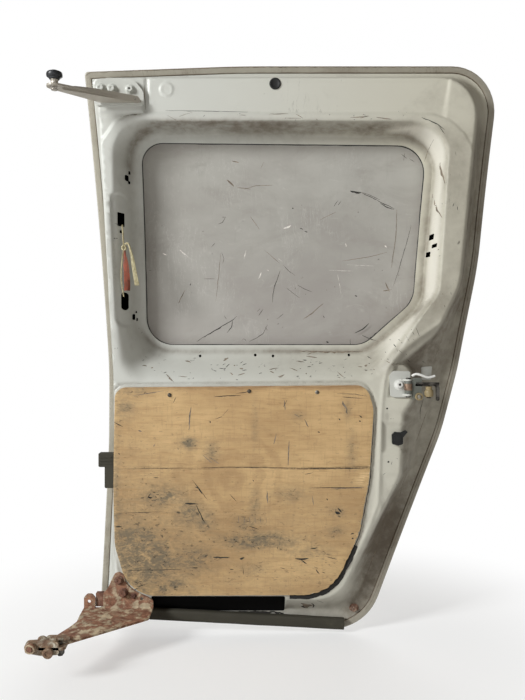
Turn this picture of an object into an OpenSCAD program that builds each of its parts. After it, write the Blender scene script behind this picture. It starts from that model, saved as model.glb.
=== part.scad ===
// Sliding side door of a small van, seen from inside: +X runs to the rear of the van,
// -Y points into the van, +Z is up. The shapes are drawn from the door's own lower
// front corner, and the whole door is then moved so that the origin lies on the flat
// underside of the lower arm.

/* [Door skin] */
// Height of the top edge over the lower front corner
top_z = 1204; // [1180:1:1230]
// Rear edge of the skin at the top
rear_top_x = 845; // [820:1:870]
// Rear edge of the skin at the foot
rear_foot_x = 562; // [550:1:580]
// How far the top of the front edge leans forward
front_lean = 38; // [30:1:45]
// Height of the belt, where the skin stands out most
belt_z = 600; // [585:1:615]
// Radius of the skin above the belt
upper_bend_r = 2600; // [2400:10:2900]
// Radius of the skin below the belt
lower_bend_r = 4800; // [4400:10:5200]
// Thickness of the skin
skin_t = 1.6; // [1.2:0.1:2]
// Width of the folded hem along the edge
hem_w = 14; // [10:1:16]
// Corner radius at the rear top corner
top_corner_r = 96; // [80:1:110]

/* [Inner panel] */
// Thickness of the pressed inner panel
panel_t = 1.6; // [1.2:0.1:2]
// Depth of the lower frame face behind the belt of the skin
frame_depth = 75; // [70:1:80]
// How far the frame face leans into the van at the top
frame_lean = 50; // [44:1:56]
// Height over which the frame face leans, from the belt to the top edge
lean_start_z = 560; // [550:1:575]
// Corner radius of the window mouth
mouth_r = 66; // [55:1:75]
// Margin from the plywood's edge to the access opening behind it
access_margin = 28; // [24:1:34]

/* [Window blank] */
// Thickness of the blank panel in the window
blank_t = 3.2; // [2.5:0.1:4]
// Thickness of the bonding bead under the blank
bead_t = 2; // [1.5:0.1:3]
// Width of the bonding bead
bead_w = 12; // [9:1:14]
// Width of the seat that carries the blank
seat_w = 20; // [18:1:24]
// Gap around the blank
blank_gap = 2.5; // [1.5:0.1:4]

/* [Plywood panel] */
// Thickness of the plywood
ply_t = 6; // [4:0.5:9]
// Width of the bare frame between the plywood and the rear edge of the skin
ply_rear_gap = 175; // [165:1:185]
// Drop from the belt to the plywood's top edge
ply_drop = 71; // [68:1:80]
// Height of the plywood's lower edge
ply_foot_z = 84; // [80:1:95]

/* [Upper arm] */
// Thickness of the arm's steel
arm_t = 4; // [3:0.5:5]
// Height of the arm's bar
arm_h = 16; // [14:1:20]
// Reach of the arm from the frame face to the roller
arm_reach = 88; // [80:1:96]
// Distance from the mounting pad to the roller along the door
arm_run = 150; // [140:1:160]
// Diameter of the upper roller
upper_roller_d = 31; // [26:1:34]
// Height of the upper roller's rim
upper_roller_h = 15; // [12:1:18]
// Diameter of the upper roller's pin
upper_pin_d = 12; // [10:0.5:13]

/* [Lower arm] */
// Thickness of the lower arm's plate
plate_t = 4; // [3:0.5:5]
// Height of the plate's upper face
plate_top_z = 59; // [57:0.5:61]
// Reach of the lower arm from the frame face to the pivot
plate_reach = 190; // [180:1:200]
// Diameter of the hole through the plate
plate_hole_d = 8; // [6:0.5:10]
// Diameter of the carriage's pivot pin
lower_pivot_d = 10; // [8:0.5:12]

/* [Rollers] */
// Diameter of the lower guide rollers
lower_guide_d = 15; // [13:0.5:16]
// Height of the lower guide rollers
lower_guide_h = 13; // [11:0.5:14]
// Diameter of the lower load wheel
lower_wheel_d = 19; // [17:0.5:21]
// Width of the lower load wheel
lower_wheel_w = 10; // [8:0.5:12]
// Diameter of the centre guide roller
centre_guide_d = 19; // [17:0.5:20]
// Height of the centre guide roller
centre_guide_h = 22; // [19:0.5:23]
// Diameter of the centre load wheel
centre_wheel_d = 16; // [14:0.5:18]
// Width of the centre load wheel
centre_wheel_w = 8; // [6:0.5:10]
// Diameter of the small rollers' pins
roller_pin_d = 6; // [5:0.5:7]
// Diameter of the centre hinge pin
centre_pin_d = 8; // [7:0.5:9]
// Running clearance on the radius between a roller and its pin
running_fit = 0.05; // [0.03:0.01:0.1]
// Play between a roller's end and the shoulder beside it
end_play = 0.5; // [0.3:0.1:1]

/* [Fasteners] */
// Diameter of the flanged bolt heads
bolt_head_d = 20; // [17:1:22]
// Shank diameter of the flanged bolts
bolt_d = 8; // [6:0.5:10]
// Diameter of the round plug in the top rail
plug_d = 24; // [20:1:28]

/* [Hidden] */

steel_paint = "#d2d3cb";
greasy_steel = "#4a4742";
rust = "#7d5442";
nylon = "#a8905c";
black_rubber = "#26272a";

// Edges of the skin, as X against Z
rear_edge = [
  [-4, rear_foot_x], [425, rear_top_x - 110], [belt_z - 40, rear_top_x - 74],
  [belt_z + 190, rear_top_x - 30], [top_z, rear_top_x]
];
front_edge = [[26, -12], [belt_z - 200, 1], [belt_z - 40, 1], [top_z - 11, -front_lean]];
function rear(z) = lookup(z, rear_edge);
function front(z) = lookup(z, front_edge);

// A corner is [x, z, radius], listed clockwise as seen from inside the van
skin_corners = [
  [front(top_z), top_z - 11, 8], [290, top_z, 3000], [rear_top_x, top_z, top_corner_r],
  [rear(belt_z + 190), belt_z + 190, 900], [rear(belt_z - 40), belt_z - 40, 700],
  [rear(425), 425, 500], [rear_foot_x, -4, 110], [-12, 26, 10], [1, belt_z - 200, 1500],
  [1, belt_z - 40, 1500]
];
// Distance from the skin's front edge to the foot of the inner panel, clear of the hem
foot_in = hem_w + 4;
upper_corners = [
  [front(top_z) + 34, top_z - 38, 25], [rear_top_x - 57, top_z - 38, 80],
  [rear(740) - 50, 740, 150], [rear(640) - 80, 640, 80], [rear(560) - 159, 560, 60],
  [rear(520) - 160, 520, 20], [front(520) + 15, 520, 20], [front(740) + 23, 740, 600],
  [front(930) + 28, 930, 600], [front(1070) + 31, 1070, 600]
];
upper_feet = [
  [front(top_z) + foot_in, top_z - 27, 20], [rear_top_x - 20, top_z - 21, 80],
  [rear(740) - 20, 740, 150], [rear(640) - 24, 640, 80], [rear(560) - 26, 560, 60],
  [rear(520) - 28, 520, 20], [front(520) + foot_in, 520, 20],
  [front(740) + foot_in, 740, 600], [front(930) + foot_in, 930, 600],
  [front(1070) + foot_in, 1070, 600]
];
lower_corners = [
  [front(575) + 15, 575, 20], [rear(575) - 118, 575, 30], [rear(500) - 98, 500, 15],
  [rear(470) - 110, 470, 20], [rear(335) - 67, 335, 60], [rear(255) - 76, 255, 200],
  [rear(165) - 85, 165, 300], [rear(74) - 94, 74, 70], [front(76) + 40, 76, 40],
  [front(230) + 30, 230, 300], [front(400) + 22, 400, 300]
];
lower_feet = [
  [front(590) + foot_in, 590, 20], [rear(585) - 28, 585, 30], [rear(500) - 30, 500, 15],
  [rear(450) - 35, 450, 20], [rear(335) - 28, 335, 60], [rear(285) - 48, 280, 120],
  [rear(160) - 50, 160, 300], [rear(50) - 52, 46, 70], [front(48) + foot_in, 48, 30],
  [front(230) + foot_in, 230, 300], [front(400) + foot_in, 400, 300]
];
window_corners = [
  [78, top_z - 154, 45], [rear(1043) - 138, top_z - 160, 60], [rear(711) - 127, 711, 60],
  [rear(614) - 217, 614, 60], [85, 614, 60]
];
mouth_corners = [
  [36, top_z - 131, mouth_r], [rear(1073) - 109, top_z - 131, mouth_r],
  [rear(725) - 93, 725, 60], [rear(545) - 190, 545, 60], [45, 540, 50]
];
ply_left = 28;
ply_top = belt_z - ply_drop;
ply_right = rear(ply_top - 49) - ply_rear_gap;
ply_foot = ply_foot_z;
ply_corners = [
  [ply_left, ply_top - 5, 25], [ply_right - 15, ply_top, 30], [ply_right, ply_top - 49, 60],
  [ply_right - 9, 330, 200], [ply_right - 30, 215, 150], [ply_right - 90, ply_foot + 2, 90],
  [60, ply_foot, 75], [28, ply_foot + 106, 100], [25, 300, 300]
];

// Rounded outline: each corner becomes an arc of ARC points between its two tangents
ARC = 6;
function unit(v) = v / norm(v);
function wrap(list, i) = list[(i + len(list)) % len(list)];
function flat(p) = [p.x, p.y];
function right_of(d) = [d.y, -d.x];
function corner_arc(before, here, after, r) =
  let (
    u = unit(here - before),
    v = unit(after - here),
    turn = u.x * v.y - u.y * v.x,
    half = acos(min(1, max(-1, u * v))) / 2,
    side = turn < 0 ? 1 : -1,
    start = here - u * r * tan(half),
    centre = start + right_of(u) * r * side,
    first = atan2(start.y - centre.y, start.x - centre.x)
  )
  [for (k = [0 : ARC - 1])
    let (angle = first - side * 2 * half * k / (ARC - 1))
    centre + r * [cos(angle), sin(angle)]];
function rounded(corners) =
  [for (i = [0 : len(corners) - 1])
    each corner_arc(flat(wrap(corners, i - 1)), flat(corners[i]), flat(wrap(corners, i + 1)),
      corners[i][2])];

// The same corners moved inwards by a distance, or outwards by a negative one
function inset(corners, by) =
  [for (i = [0 : len(corners) - 1])
    let (
      here = flat(corners[i]),
      u = unit(here - flat(wrap(corners, i - 1))),
      v = unit(flat(wrap(corners, i + 1)) - here),
      nu = right_of(u),
      nv = right_of(v),
      moved = here + (nu + nv) * by / (1 + nu * nv),
      turn = u.x * v.y - u.y * v.x
    )
    [moved.x, moved.y, max(1, corners[i][2] + (turn < 0 ? -by : by))]];

// Depth of the skin's outer face and of the frame's inner face at a height
function sag(z, r) = sqrt(r * r - pow(z - belt_z, 2)) - r;
function skin_y(z) = sag(z, z > belt_z ? upper_bend_r : lower_bend_r);
function face_y(z) =
  -frame_depth - frame_lean * max(0, z - lean_start_z) / (top_z - lean_start_z);

// Heights at which the curved sheets are drawn
foot_z = -30;
head_z = top_z + 30;
steps = 24;
heights = [for (k = [0 : steps]) foot_z + (head_z - foot_z) * k / steps];
left_x = -120;
right_x = 900;
far_y = 40;

// Solid between two depths that follow the height, over the whole width
module between(near, far) {
  translate([left_x, 0, 0]) rotate([90, 0, 90])
    linear_extrude(right_x - left_x)
      polygon(concat(near, [for (k = [len(far) - 1 : -1 : 0]) far[k]]));
}
function along_skin(by) = [for (z = heights) [skin_y(z) - by, z]];
function along_face(by) =
  [for (z = [foot_z, lean_start_z, head_z]) [face_y(z) - by, z]];
function plane_at(y) = [for (z = [foot_z, head_z]) [y, z]];

// Outline drawn in X and Z, with its thickness between two depths
module slab(points, y0, y1) {
  translate([0, y1, 0]) rotate([90, 0, 0]) linear_extrude(y1 - y0) polygon(points);
}
module skin_sheet(points, out, in) {
  intersection() {
    slab(points, -200, far_y);
    between(along_skin(in), along_skin(out));
  }
}
module skin_ring(outer, inner, out, in) {
  difference() {
    skin_sheet(outer, out, in);
    slab(inner, -210, far_y + 10);
  }
}

// Straight-sided body whose walls run from a face outline to a foot outline on the skin
function carried(p, q, y) =
  let (
    yp = face_y(p.y),
    yq = skin_y(q.y),
    share = (y - yp) / (yq - yp)
  )
  [p.x + (q.x - p.x) * share, p.y + (q.y - p.y) * share, p[2]];
function ring_at(corners, feet, y) =
  let (outline = rounded([for (i = [0 : len(corners) - 1]) carried(corners[i], feet[i], y)]))
  [for (p = outline) [p.x, y, p.y]];
function sum(list, i = 0) = i < len(list) ? list[i] + sum(list, i + 1) : 0;
function middle(points) = [for (k = [0 : 2]) sum([for (p = points) p[k]]) / len(points)];
module walls(corners, feet, near, far) {
  near_ring = ring_at(corners, feet, near);
  far_ring = ring_at(corners, feet, far);
  n = len(near_ring);
  points = concat(near_ring, far_ring, [middle(near_ring), middle(far_ring)]);
  polyhedron(points, concat(
    [for (i = [0 : n - 1]) [i, (i + 1) % n, 2 * n]],
    [for (i = [0 : n - 1]) [n + (i + 1) % n, n + i, 2 * n + 1]],
    [for (i = [0 : n - 1]) [(i + 1) % n, i, n + (i + 1) % n]],
    [for (i = [0 : n - 1]) [n + (i + 1) % n, i, n + i]]
  ));
}
near_y = -130;
module dish(corners, feet, by, out) {
  intersection() {
    walls(inset(corners, by), inset(feet, by), near_y, far_y - 30);
    between(along_face(-by), along_skin(out));
  }
}

// Stack of the window from the skin inwards
blank_in = blank_t;
bead_in = blank_in + bead_t;
seat_in = bead_in + skin_t;
strip_in = seat_in + panel_t;
blank_cut = inset(window_corners, -seat_w - blank_gap);

module hole_y(x, z, d, y0, y1) {
  translate([x, y1, z]) rotate([90, 0, 0]) cylinder(h = y1 - y0, d = d, $fn = 48);
}
module placed() {
  translate(-origin) children();
}

module outer_skin() {
  edge = rounded(skin_corners);
  color(steel_paint) placed() {
    difference() {
      union() {
        skin_ring(edge, rounded(blank_cut), 0, skin_t);
        skin_ring(rounded(inset(blank_cut, -skin_t)), rounded(blank_cut), 0, seat_in);
        skin_ring(rounded(inset(blank_cut, -skin_t)), rounded(window_corners), bead_in, seat_in);
        skin_ring(edge, rounded(inset(skin_corners, hem_w)), 0, 2 * skin_t + panel_t);
      }
      skin_ring(rounded(inset(skin_corners, skin_t)), rounded(inset(skin_corners, hem_w + 1)),
        skin_t, skin_t + panel_t);
    }
  }
}

module window_blank() {
  color("#b9b2ae") placed()
    skin_sheet(rounded(inset(blank_cut, blank_gap)), 0, blank_in);
}

module window_bead() {
  color(black_rubber) placed()
    skin_ring(rounded(inset(window_corners, -bead_w)), rounded(inset(window_corners, 2)),
      blank_in, bead_in);
}

// Access opening and small holes of the inner panel
access_corners = inset(ply_corners, access_margin);
module inner_panel() {
  strip = inset(window_corners, -seat_w);
  color(steel_paint) placed() difference() {
    union() {
      difference() {
        union() {
          dish(upper_corners, upper_feet, 0, skin_t);
          dish(lower_corners, lower_feet, 0, skin_t);
        }
        dish(upper_corners, upper_feet, panel_t, skin_t - 20);
        dish(lower_corners, lower_feet, panel_t, skin_t - 20);
      }
      intersection() {
        walls(inset(mouth_corners, -panel_t), inset(strip, -panel_t), near_y, far_y - 30);
        between(along_face(0), along_skin(seat_in));
      }
      skin_ring(rounded(inset(skin_corners, skin_t + 0.4)), rounded(inset(skin_corners, 34)),
        skin_t, skin_t + panel_t);
    }
    intersection() {
      walls(mouth_corners, strip, near_y, far_y - 30);
      between(plane_at(near_y - 20), along_skin(strip_in));
    }
    slab(rounded(window_corners), -200, far_y);
    slab(rounded(access_corners), -frame_depth - 10, -frame_depth + 15);
    plug_hole();
    for (b = arm_bolts) hole_y(b.x, b.y, bolt_hole_d, -150, -90);
    for (b = lower_bolts) hole_y(b.x, b.y, bolt_d, -frame_depth - 5, -frame_depth + 5);
    for (s = screws) hole_y(s.x, s.y, screw_d, -frame_depth - 5, -frame_depth + 5);
    hole_y(bracket_bolt.x, bracket_bolt.y, bolt_d, -frame_depth - 5, -frame_depth + 5);
    hole_y(corner_bolt_at.x, corner_bolt_at.y, bolt_d + 1, -60, -30);
    translate([34, -120, 858]) cube([15, 60, 32]);
    translate([41, -120, 688]) cube([14, 60, 36]);
  }
}

plug_x = 366;
plug_z = top_z - 52;
module plug_hole() {
  hole_y(plug_x, plug_z, plug_d - 4, -160, -90);
}

module plywood_panel() {
  color("#a98455") placed() difference() {
    slab(rounded(ply_corners), -frame_depth - ply_t, -frame_depth);
    for (s = screws) hole_y(s.x, s.y, screw_d, -frame_depth - ply_t - 1, -frame_depth + 1);
  }
}

screw_d = 4;
screw_head_d = 9;
screws = [[144, ply_top - 21], [312, ply_top - 13], [455, ply_top - 15]];
module plywood_screws() {
  color("#8a8478") placed() for (s = screws) {
    hole_y(s.x, s.y, screw_head_d, -frame_depth - ply_t - 1.5, -frame_depth - ply_t);
    hole_y(s.x, s.y, screw_d, -frame_depth - ply_t - 1, -frame_depth + 12);
  }
}

// Rubber strip along the foot
seal_x0 = 97;
seal_x1 = 515;
seal_slope = 3;
module bottom_seal() {
  color(black_rubber) placed() translate([seal_x0, -42, 24]) rotate([0, seal_slope, 0])
    rotate([90, 0, 90]) linear_extrude(seal_x1 - seal_x0)
      polygon([[0, 0], [-10, 1], [-14, 8], [-14, 20], [-9, 24], [0, 24]]);
}

// Upper arm: bar from the mounting pad on the frame to the roller pin
pad_x0 = -4;
pad_x1 = 92;
pad_z0 = top_z - 110;
pad_z1 = top_z - 42;
pad_lean = atan(frame_lean / (top_z - lean_start_z));
arm_z = top_z - 89;
root_x = 88;
tip_x = root_x - arm_run;
root_y = face_y(arm_z) - 6.5;
tip_y = root_y - arm_reach;
bolt_hole_d = bolt_d + 2;
arm_bolts = [[8, top_z - 64], [31, top_z - 65], [68, top_z - 66]];
module upper_arm() {
  color("#958e84") placed() difference() {
    union() {
      translate([0, face_y(pad_z0), pad_z0]) rotate([pad_lean, 0, 0])
        slab([[pad_x0, 0], [pad_x0, pad_z1 - pad_z0 - 8], [pad_x0 + 8, pad_z1 - pad_z0],
          [pad_x1 - 20, pad_z1 - pad_z0], [pad_x1, pad_z1 - pad_z0 - 22], [pad_x1, 0]],
          -arm_t, 0);
      hull() {
        translate([root_x, root_y, arm_z - arm_h / 2]) cylinder(h = arm_t, d = 10, $fn = 32);
        translate([pad_x0 + 14, root_y - 2, arm_z - arm_h / 2]) cylinder(h = arm_t, d = 14, $fn = 32);
        translate([tip_x, tip_y, arm_z - arm_h / 2]) cylinder(h = arm_t, d = 30, $fn = 32);
      }
      hull() {
        translate([root_x, root_y - 2, arm_z - arm_h / 2]) cylinder(h = arm_h, d = arm_t, $fn = 24);
        translate([tip_x + 24, tip_y + 2, arm_z - arm_h / 2]) cylinder(h = arm_h, d = arm_t, $fn = 24);
      }
    }
    translate([tip_x, tip_y, arm_z - arm_h]) cylinder(h = 2 * arm_h, d = upper_pin_d, $fn = 64);
    for (b = arm_bolts) hole_y(b.x, b.y, bolt_hole_d, -150, -80);
  }
}

module flanged_bolt(x, y, z, lean, length) {
  translate([x, y, z]) rotate([90 + lean, 0, 0]) {
    cylinder(h = 3, d = bolt_head_d, $fn = 48);
    translate([0, 0, 3]) cylinder(h = 5, d = bolt_head_d * 0.75, $fn = 6);
    translate([0, 0, -length]) cylinder(h = length, d = bolt_d, $fn = 48);
  }
}
module upper_arm_bolts() {
  color("#c6c5bd") placed() for (b = arm_bolts)
    flanged_bolt(b.x, face_y(b.y) - arm_t - 0.05, b.y, pad_lean, 12);
}

collar_h = 14;
module upper_roller_pin() {
  color("#8f8b84") placed() translate([tip_x, tip_y, arm_z - arm_h / 2]) {
    cylinder(h = arm_t + collar_h + 2 * end_play + upper_roller_h + 2, d = upper_pin_d, $fn = 64);
    translate([0, 0, arm_t]) cylinder(h = collar_h, d1 = upper_pin_d + 7, d2 = upper_pin_d + 4, $fn = 64);
    translate([0, 0, arm_t + collar_h + 2 * end_play + upper_roller_h])
      cylinder(h = 2, d = upper_pin_d + 5, $fn = 64);
  }
}

// Roller with a vertical axis, standing on its lower face
module roller(d, h, pin, waist) {
  difference() {
    rotate_extrude($fn = 72) polygon([
      [0, 0], [d / 2 - waist, 0], [d / 2, h * 0.3], [d / 2, h * 0.75], [d / 2 - 2, h], [0, h]
    ]);
    translate([0, 0, -1]) cylinder(h = h + 2, d = pin + 2 * running_fit, $fn = 64);
  }
}
module upper_roller() {
  color(black_rubber) placed()
    translate([tip_x, tip_y, arm_z - arm_h / 2 + arm_t + collar_h + end_play])
      roller(upper_roller_d, upper_roller_h, upper_pin_d, 5);
}

// Lower arm: plate under the door with a flange up its face
pivot_x = -45;
pivot_y = -frame_depth - plate_reach;
hole_x = 39;
hole_y0 = -166;
origin = [hole_x - 52, hole_y0 - 30, plate_top_z - plate_t];
flange_z = plate_top_z;
module lower_arm() {
  plate = [
    [-37, -frame_depth], [109, -frame_depth], [109, -frame_depth - 66], [98, -frame_depth - 77],
    [pivot_x + 15, pivot_y - 4], [pivot_x - 2, pivot_y - 13], [pivot_x - 11, pivot_y - 9],
    [pivot_x - 15, pivot_y + 2], [-47, -217], [-38, -190], [-32, -160], [-34, -125]
  ];
  color(rust) placed() difference() {
    union() {
      translate([0, 0, plate_top_z - plate_t]) linear_extrude(plate_t) polygon(plate);
      slab([[4, flange_z - plate_t], [4, ply_foot + 8], [14, ply_foot + 16], [23, ply_foot + 34],
        [29, ply_foot + 45], [38, ply_foot + 48], [46, ply_foot + 42], [49, ply_foot + 30],
        [56, ply_foot + 20], [74, ply_foot + 8], [98, ply_foot - 4], [109, ply_foot - 10],
        [109, flange_z - plate_t]],
        -frame_depth - plate_t, -frame_depth);
      slab([[-37, flange_z - plate_t], [-37, 80], [-31, 87], [-20, 87], [-14, 80],
        [-14, flange_z - plate_t]], -frame_depth - plate_t, -frame_depth);
    }
    translate([hole_x, hole_y0, 0]) cylinder(h = 100, d = plate_hole_d, $fn = 48);
    translate([pivot_x, pivot_y, 0]) cylinder(h = 100, d = lower_pivot_d, $fn = 48);
    hole_y(-26, 72, 7, -frame_depth - 10, -frame_depth + 5);
    for (b = lower_bolts) hole_y(b.x, b.y, bolt_d, -frame_depth - 10, -frame_depth + 5);
    hole_y(85, ply_foot - 6, 7, -frame_depth - 10, -frame_depth + 5);
  }
}

lower_bolts = [[37, ply_foot + 33], [46, ply_foot + 7]];
module lower_arm_bolts() {
  color("#5c4238") placed() for (b = lower_bolts)
    flanged_bolt(b.x, -frame_depth - plate_t, b.y, 0, 12);
}

// Lower carriage: swivel plate on the arm with a flange that carries the wheels
carriage_z = plate_top_z + 1;
carriage_t = 5;
wheel_x = pivot_x - 33;
flange_y = pivot_y - 36;
guide_y = pivot_y - 23;
guide_front_x = pivot_x - 16;
guide_rear_x = pivot_x + 15;
wheel_z = 66;
module lower_carriage() {
  color("#9a8f80") placed() difference() {
    union() {
      translate([0, 0, carriage_z]) linear_extrude(carriage_t) polygon([
        [pivot_x - 19, pivot_y + 20], [pivot_x + 14, pivot_y + 22], [pivot_x + 25, pivot_y + 8],
        [pivot_x + 27, flange_y - carriage_t], [pivot_x - 27, flange_y - carriage_t],
        [pivot_x - 24, pivot_y - 6]
      ]);
      translate([pivot_x, pivot_y, carriage_z - 1]) cylinder(h = 1, d = 20, $fn = 48);
      translate([pivot_x - 44, flange_y - 5, 52]) cube([60, 5, 24]);
      hole_y(pivot_x - 2, 55, 17, flange_y - 11, flange_y - 2);
    }
    translate([pivot_x, pivot_y, 0])
      cylinder(h = 100, d = lower_pivot_d + 2 * running_fit, $fn = 64);
    for (x = [guide_front_x, guide_rear_x]) translate([x, guide_y, 0])
      cylinder(h = 100, d = roller_pin_d, $fn = 48);
    hole_y(wheel_x, wheel_z, roller_pin_d, flange_y - 8, flange_y + 2);
    hole_y(pivot_x - 2, 55, 7, flange_y - 14, flange_y - 7);
  }
}

module lower_pivot_pin() {
  color(greasy_steel) placed() translate([pivot_x, pivot_y, plate_top_z - plate_t]) {
    cylinder(h = plate_t + 1 + carriage_t + end_play, d = lower_pivot_d, $fn = 64);
    translate([0, 0, plate_t + 1 + carriage_t + end_play])
      cylinder(h = 4, d = lower_pivot_d + 8, $fn = 64);
  }
}

guide_z = carriage_z - end_play - lower_guide_h;
module lower_guide(x) {
  placed() translate([x, guide_y, guide_z]) roller(lower_guide_d, lower_guide_h, roller_pin_d, 1);
}
module lower_guide_front() {
  color("#a0683f") lower_guide(guide_front_x);
}
module lower_guide_rear() {
  color("#4e3a30") lower_guide(guide_rear_x);
}
module lower_guide_pins() {
  color(greasy_steel) placed() for (x = [guide_front_x, guide_rear_x])
    translate([x, guide_y, guide_z - end_play - 2]) {
      cylinder(h = 2, d = roller_pin_d + 4, $fn = 48);
      cylinder(h = 2 + lower_guide_h + 2 * end_play + carriage_t, d = roller_pin_d, $fn = 64);
      translate([0, 0, 2 + lower_guide_h + 2 * end_play + carriage_t])
        cylinder(h = 3, d = roller_pin_d + 4, $fn = 48);
    }
}

wheel_y = flange_y - 5 - end_play;
module lower_load_wheel() {
  color("#6d5f50") placed() translate([wheel_x, wheel_y, wheel_z]) rotate([90, 0, 0])
    roller(lower_wheel_d, lower_wheel_w, roller_pin_d, 1);
}
module lower_wheel_axle() {
  color(greasy_steel) placed() translate([wheel_x, flange_y, wheel_z]) rotate([90, 0, 0]) {
    cylinder(h = 5 + 2 * end_play + lower_wheel_w + 2, d = roller_pin_d, $fn = 64);
    translate([0, 0, 5 + 2 * end_play + lower_wheel_w]) cylinder(h = 2, d = 10, $fn = 48);
  }
}

// Centre hinge: bracket on the frame, and a carriage that swivels on its pin
bracket_x0 = 610;
bracket_x1 = 652;
bracket_z0 = 503;
bracket_z1 = 558;
bracket_t = 4;
bracket_bolt = [629, 529];
hinge_x = 645;
hinge_y = -frame_depth - 19;
ear_t = 4;
ear_low = 507;
ear_high = 538;
module centre_bracket() {
  color("#a8a59c") placed() difference() {
    union() {
      translate([bracket_x0, -frame_depth - bracket_t, bracket_z0])
        cube([bracket_x1 - bracket_x0, bracket_t, bracket_z1 - bracket_z0]);
      for (z = [ear_low, ear_high]) {
        translate([hinge_x - 7, hinge_y, z]) cube([14, -frame_depth - hinge_y, ear_t]);
        translate([hinge_x, hinge_y, z]) cylinder(h = ear_t, d = 14, $fn = 48);
      }
    }
    translate([hinge_x, hinge_y, 400]) cylinder(h = 200, d = centre_pin_d, $fn = 64);
    hole_y(bracket_bolt.x, bracket_bolt.y, bolt_d, -frame_depth - 10, -frame_depth + 5);
  }
}
module centre_bracket_bolt() {
  color("#d8d8d4") placed()
    flanged_bolt(bracket_bolt.x, -frame_depth - bracket_t, bracket_bolt.y, 0, 12);
}

module centre_hinge_pin() {
  color(greasy_steel) placed() translate([hinge_x, hinge_y, ear_low - 3]) {
    cylinder(h = ear_high + ear_t + 3 - ear_low + 3, d = centre_pin_d, $fn = 64);
    cylinder(h = 3, d = centre_pin_d + 5, $fn = 48);
    translate([0, 0, ear_high + ear_t + 3 - ear_low]) cylinder(h = 3, d = centre_pin_d + 5, $fn = 48);
  }
}

barrel_d = 16;
barrel_z0 = ear_low + ear_t + end_play;
barrel_h = ear_high - ear_low - ear_t - 2 * end_play;
guide_x = 688;
guide_top = 527;
shelf_t = 4;
roller_gap = 5.5;
link_x1 = guide_x - centre_guide_d / 2 - roller_gap;
stop_x = guide_x + centre_guide_d / 2 + roller_gap;
centre_wheel_x = 666;
centre_wheel_z = 506;
module centre_carriage() {
  color(greasy_steel) placed() difference() {
    union() {
      translate([hinge_x, hinge_y, barrel_z0]) cylinder(h = barrel_h, d = barrel_d, $fn = 64);
      translate([hinge_x, hinge_y - 2, barrel_z0]) cube([link_x1 - hinge_x, 4, barrel_h]);
      translate([link_x1 - 20, hinge_y - 2, centre_wheel_z - 9]) cube([20, 4, 50]);
      translate([link_x1 - 12, hinge_y - 8, guide_top + end_play])
        cube([stop_x + 5 - link_x1 + 12, 18, shelf_t]);
      translate([stop_x, hinge_y - 2, 500]) cube([5, 4, guide_top + end_play + shelf_t - 500]);
    }
    translate([hinge_x, hinge_y, 400])
      cylinder(h = 200, d = centre_pin_d + 2 * running_fit, $fn = 64);
    translate([guide_x, hinge_y, 480]) cylinder(h = 100, d = roller_pin_d, $fn = 48);
    hole_y(centre_wheel_x, centre_wheel_z, roller_pin_d, hinge_y - 10, hinge_y + 10);
  }
}
module centre_guide_roller() {
  color(nylon) placed() translate([guide_x, hinge_y, guide_top - centre_guide_h])
    roller(centre_guide_d, centre_guide_h, roller_pin_d, 1.5);
}
module centre_guide_pin() {
  color(greasy_steel) placed()
    translate([guide_x, hinge_y, guide_top - centre_guide_h - end_play - 2]) {
      cylinder(h = 2, d = roller_pin_d + 4, $fn = 48);
      cylinder(h = 2 + centre_guide_h + 2 * end_play + shelf_t + 2, d = roller_pin_d, $fn = 64);
    }
}
module centre_load_wheel() {
  color("#8c7a45") placed()
    translate([centre_wheel_x, hinge_y - 2 - end_play, centre_wheel_z]) rotate([90, 0, 0])
      roller(centre_wheel_d, centre_wheel_w, roller_pin_d, 1);
}
module centre_wheel_axle() {
  color(greasy_steel) placed()
    translate([centre_wheel_x, hinge_y + 2, centre_wheel_z]) rotate([90, 0, 0]) {
      cylinder(h = 4 + 2 * end_play + centre_wheel_w + 2, d = roller_pin_d, $fn = 64);
      translate([0, 0, 4 + 2 * end_play + centre_wheel_w]) cylinder(h = 2, d = 10, $fn = 48);
    }
}

module hinge_reinforcement() {
  color("#8f8b80") placed() difference() {
    translate([0, 0, 540]) linear_extrude(27) polygon([[688, -63], [710, -55], [710, -20], [688, -20]]);
    dish(lower_corners, lower_feet, 0, skin_t);
    dish(upper_corners, upper_feet, 0, skin_t);
  }
}

module top_plug() {
  color(black_rubber) placed() translate([plug_x, face_y(plug_z), plug_z]) rotate([90 + pad_lean, 0, 0]) {
    cylinder(h = 2.5, d = plug_d, $fn = 64);
    translate([0, 0, -6]) cylinder(h = 6, d = plug_d - 5, $fn = 64);
  }
}
module rear_grommet() {
  color(black_rubber) placed() translate([615, -frame_depth - 6, 403]) cube([22, 6, 26]);
}
corner_bolt_at = [538.5, 43.5];
module corner_bolt() {
  color("#8d8980") placed()
    flanged_bolt(corner_bolt_at.x, skin_y(corner_bolt_at.y) - skin_t - panel_t - 0.1,
      corner_bolt_at.y, -6.6, 1);
}
module front_guide_block() {
  color(black_rubber) placed() difference() {
    union() {
      translate([-6, -68, 354]) cube([32, 16, 30]);
      translate([6, -68, 309]) cube([20, 14, 46]);
    }
    dish(lower_corners, lower_feet, 0, skin_t);
  }
}

// Pull cord in front of the lock's slot, with the strap and the frayed tail
cord_d = 3;
module rod_between(a, b, d) {
  along = b - a;
  translate(a) rotate([0, acos(along.z / norm(along)), atan2(along.y, along.x)])
    cylinder(h = norm(along), d = d, $fn = 16);
}
cord_top = [45, -87, 863];
knot = [50, -90, 817];
cord_foot = [47.5, -78, 716];
module pull_cord() {
  color("#d8cdb4") placed() {
    rod_between(cord_top, knot, cord_d);
    rod_between(knot, cord_foot, cord_d);
    translate(knot) sphere(d = 9, $fn = 32);
  }
}
module pull_strap() {
  color("#9c3a2a") placed() translate([53, knot.y - 4, 728]) cube([8, 2, 80]);
}

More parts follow.
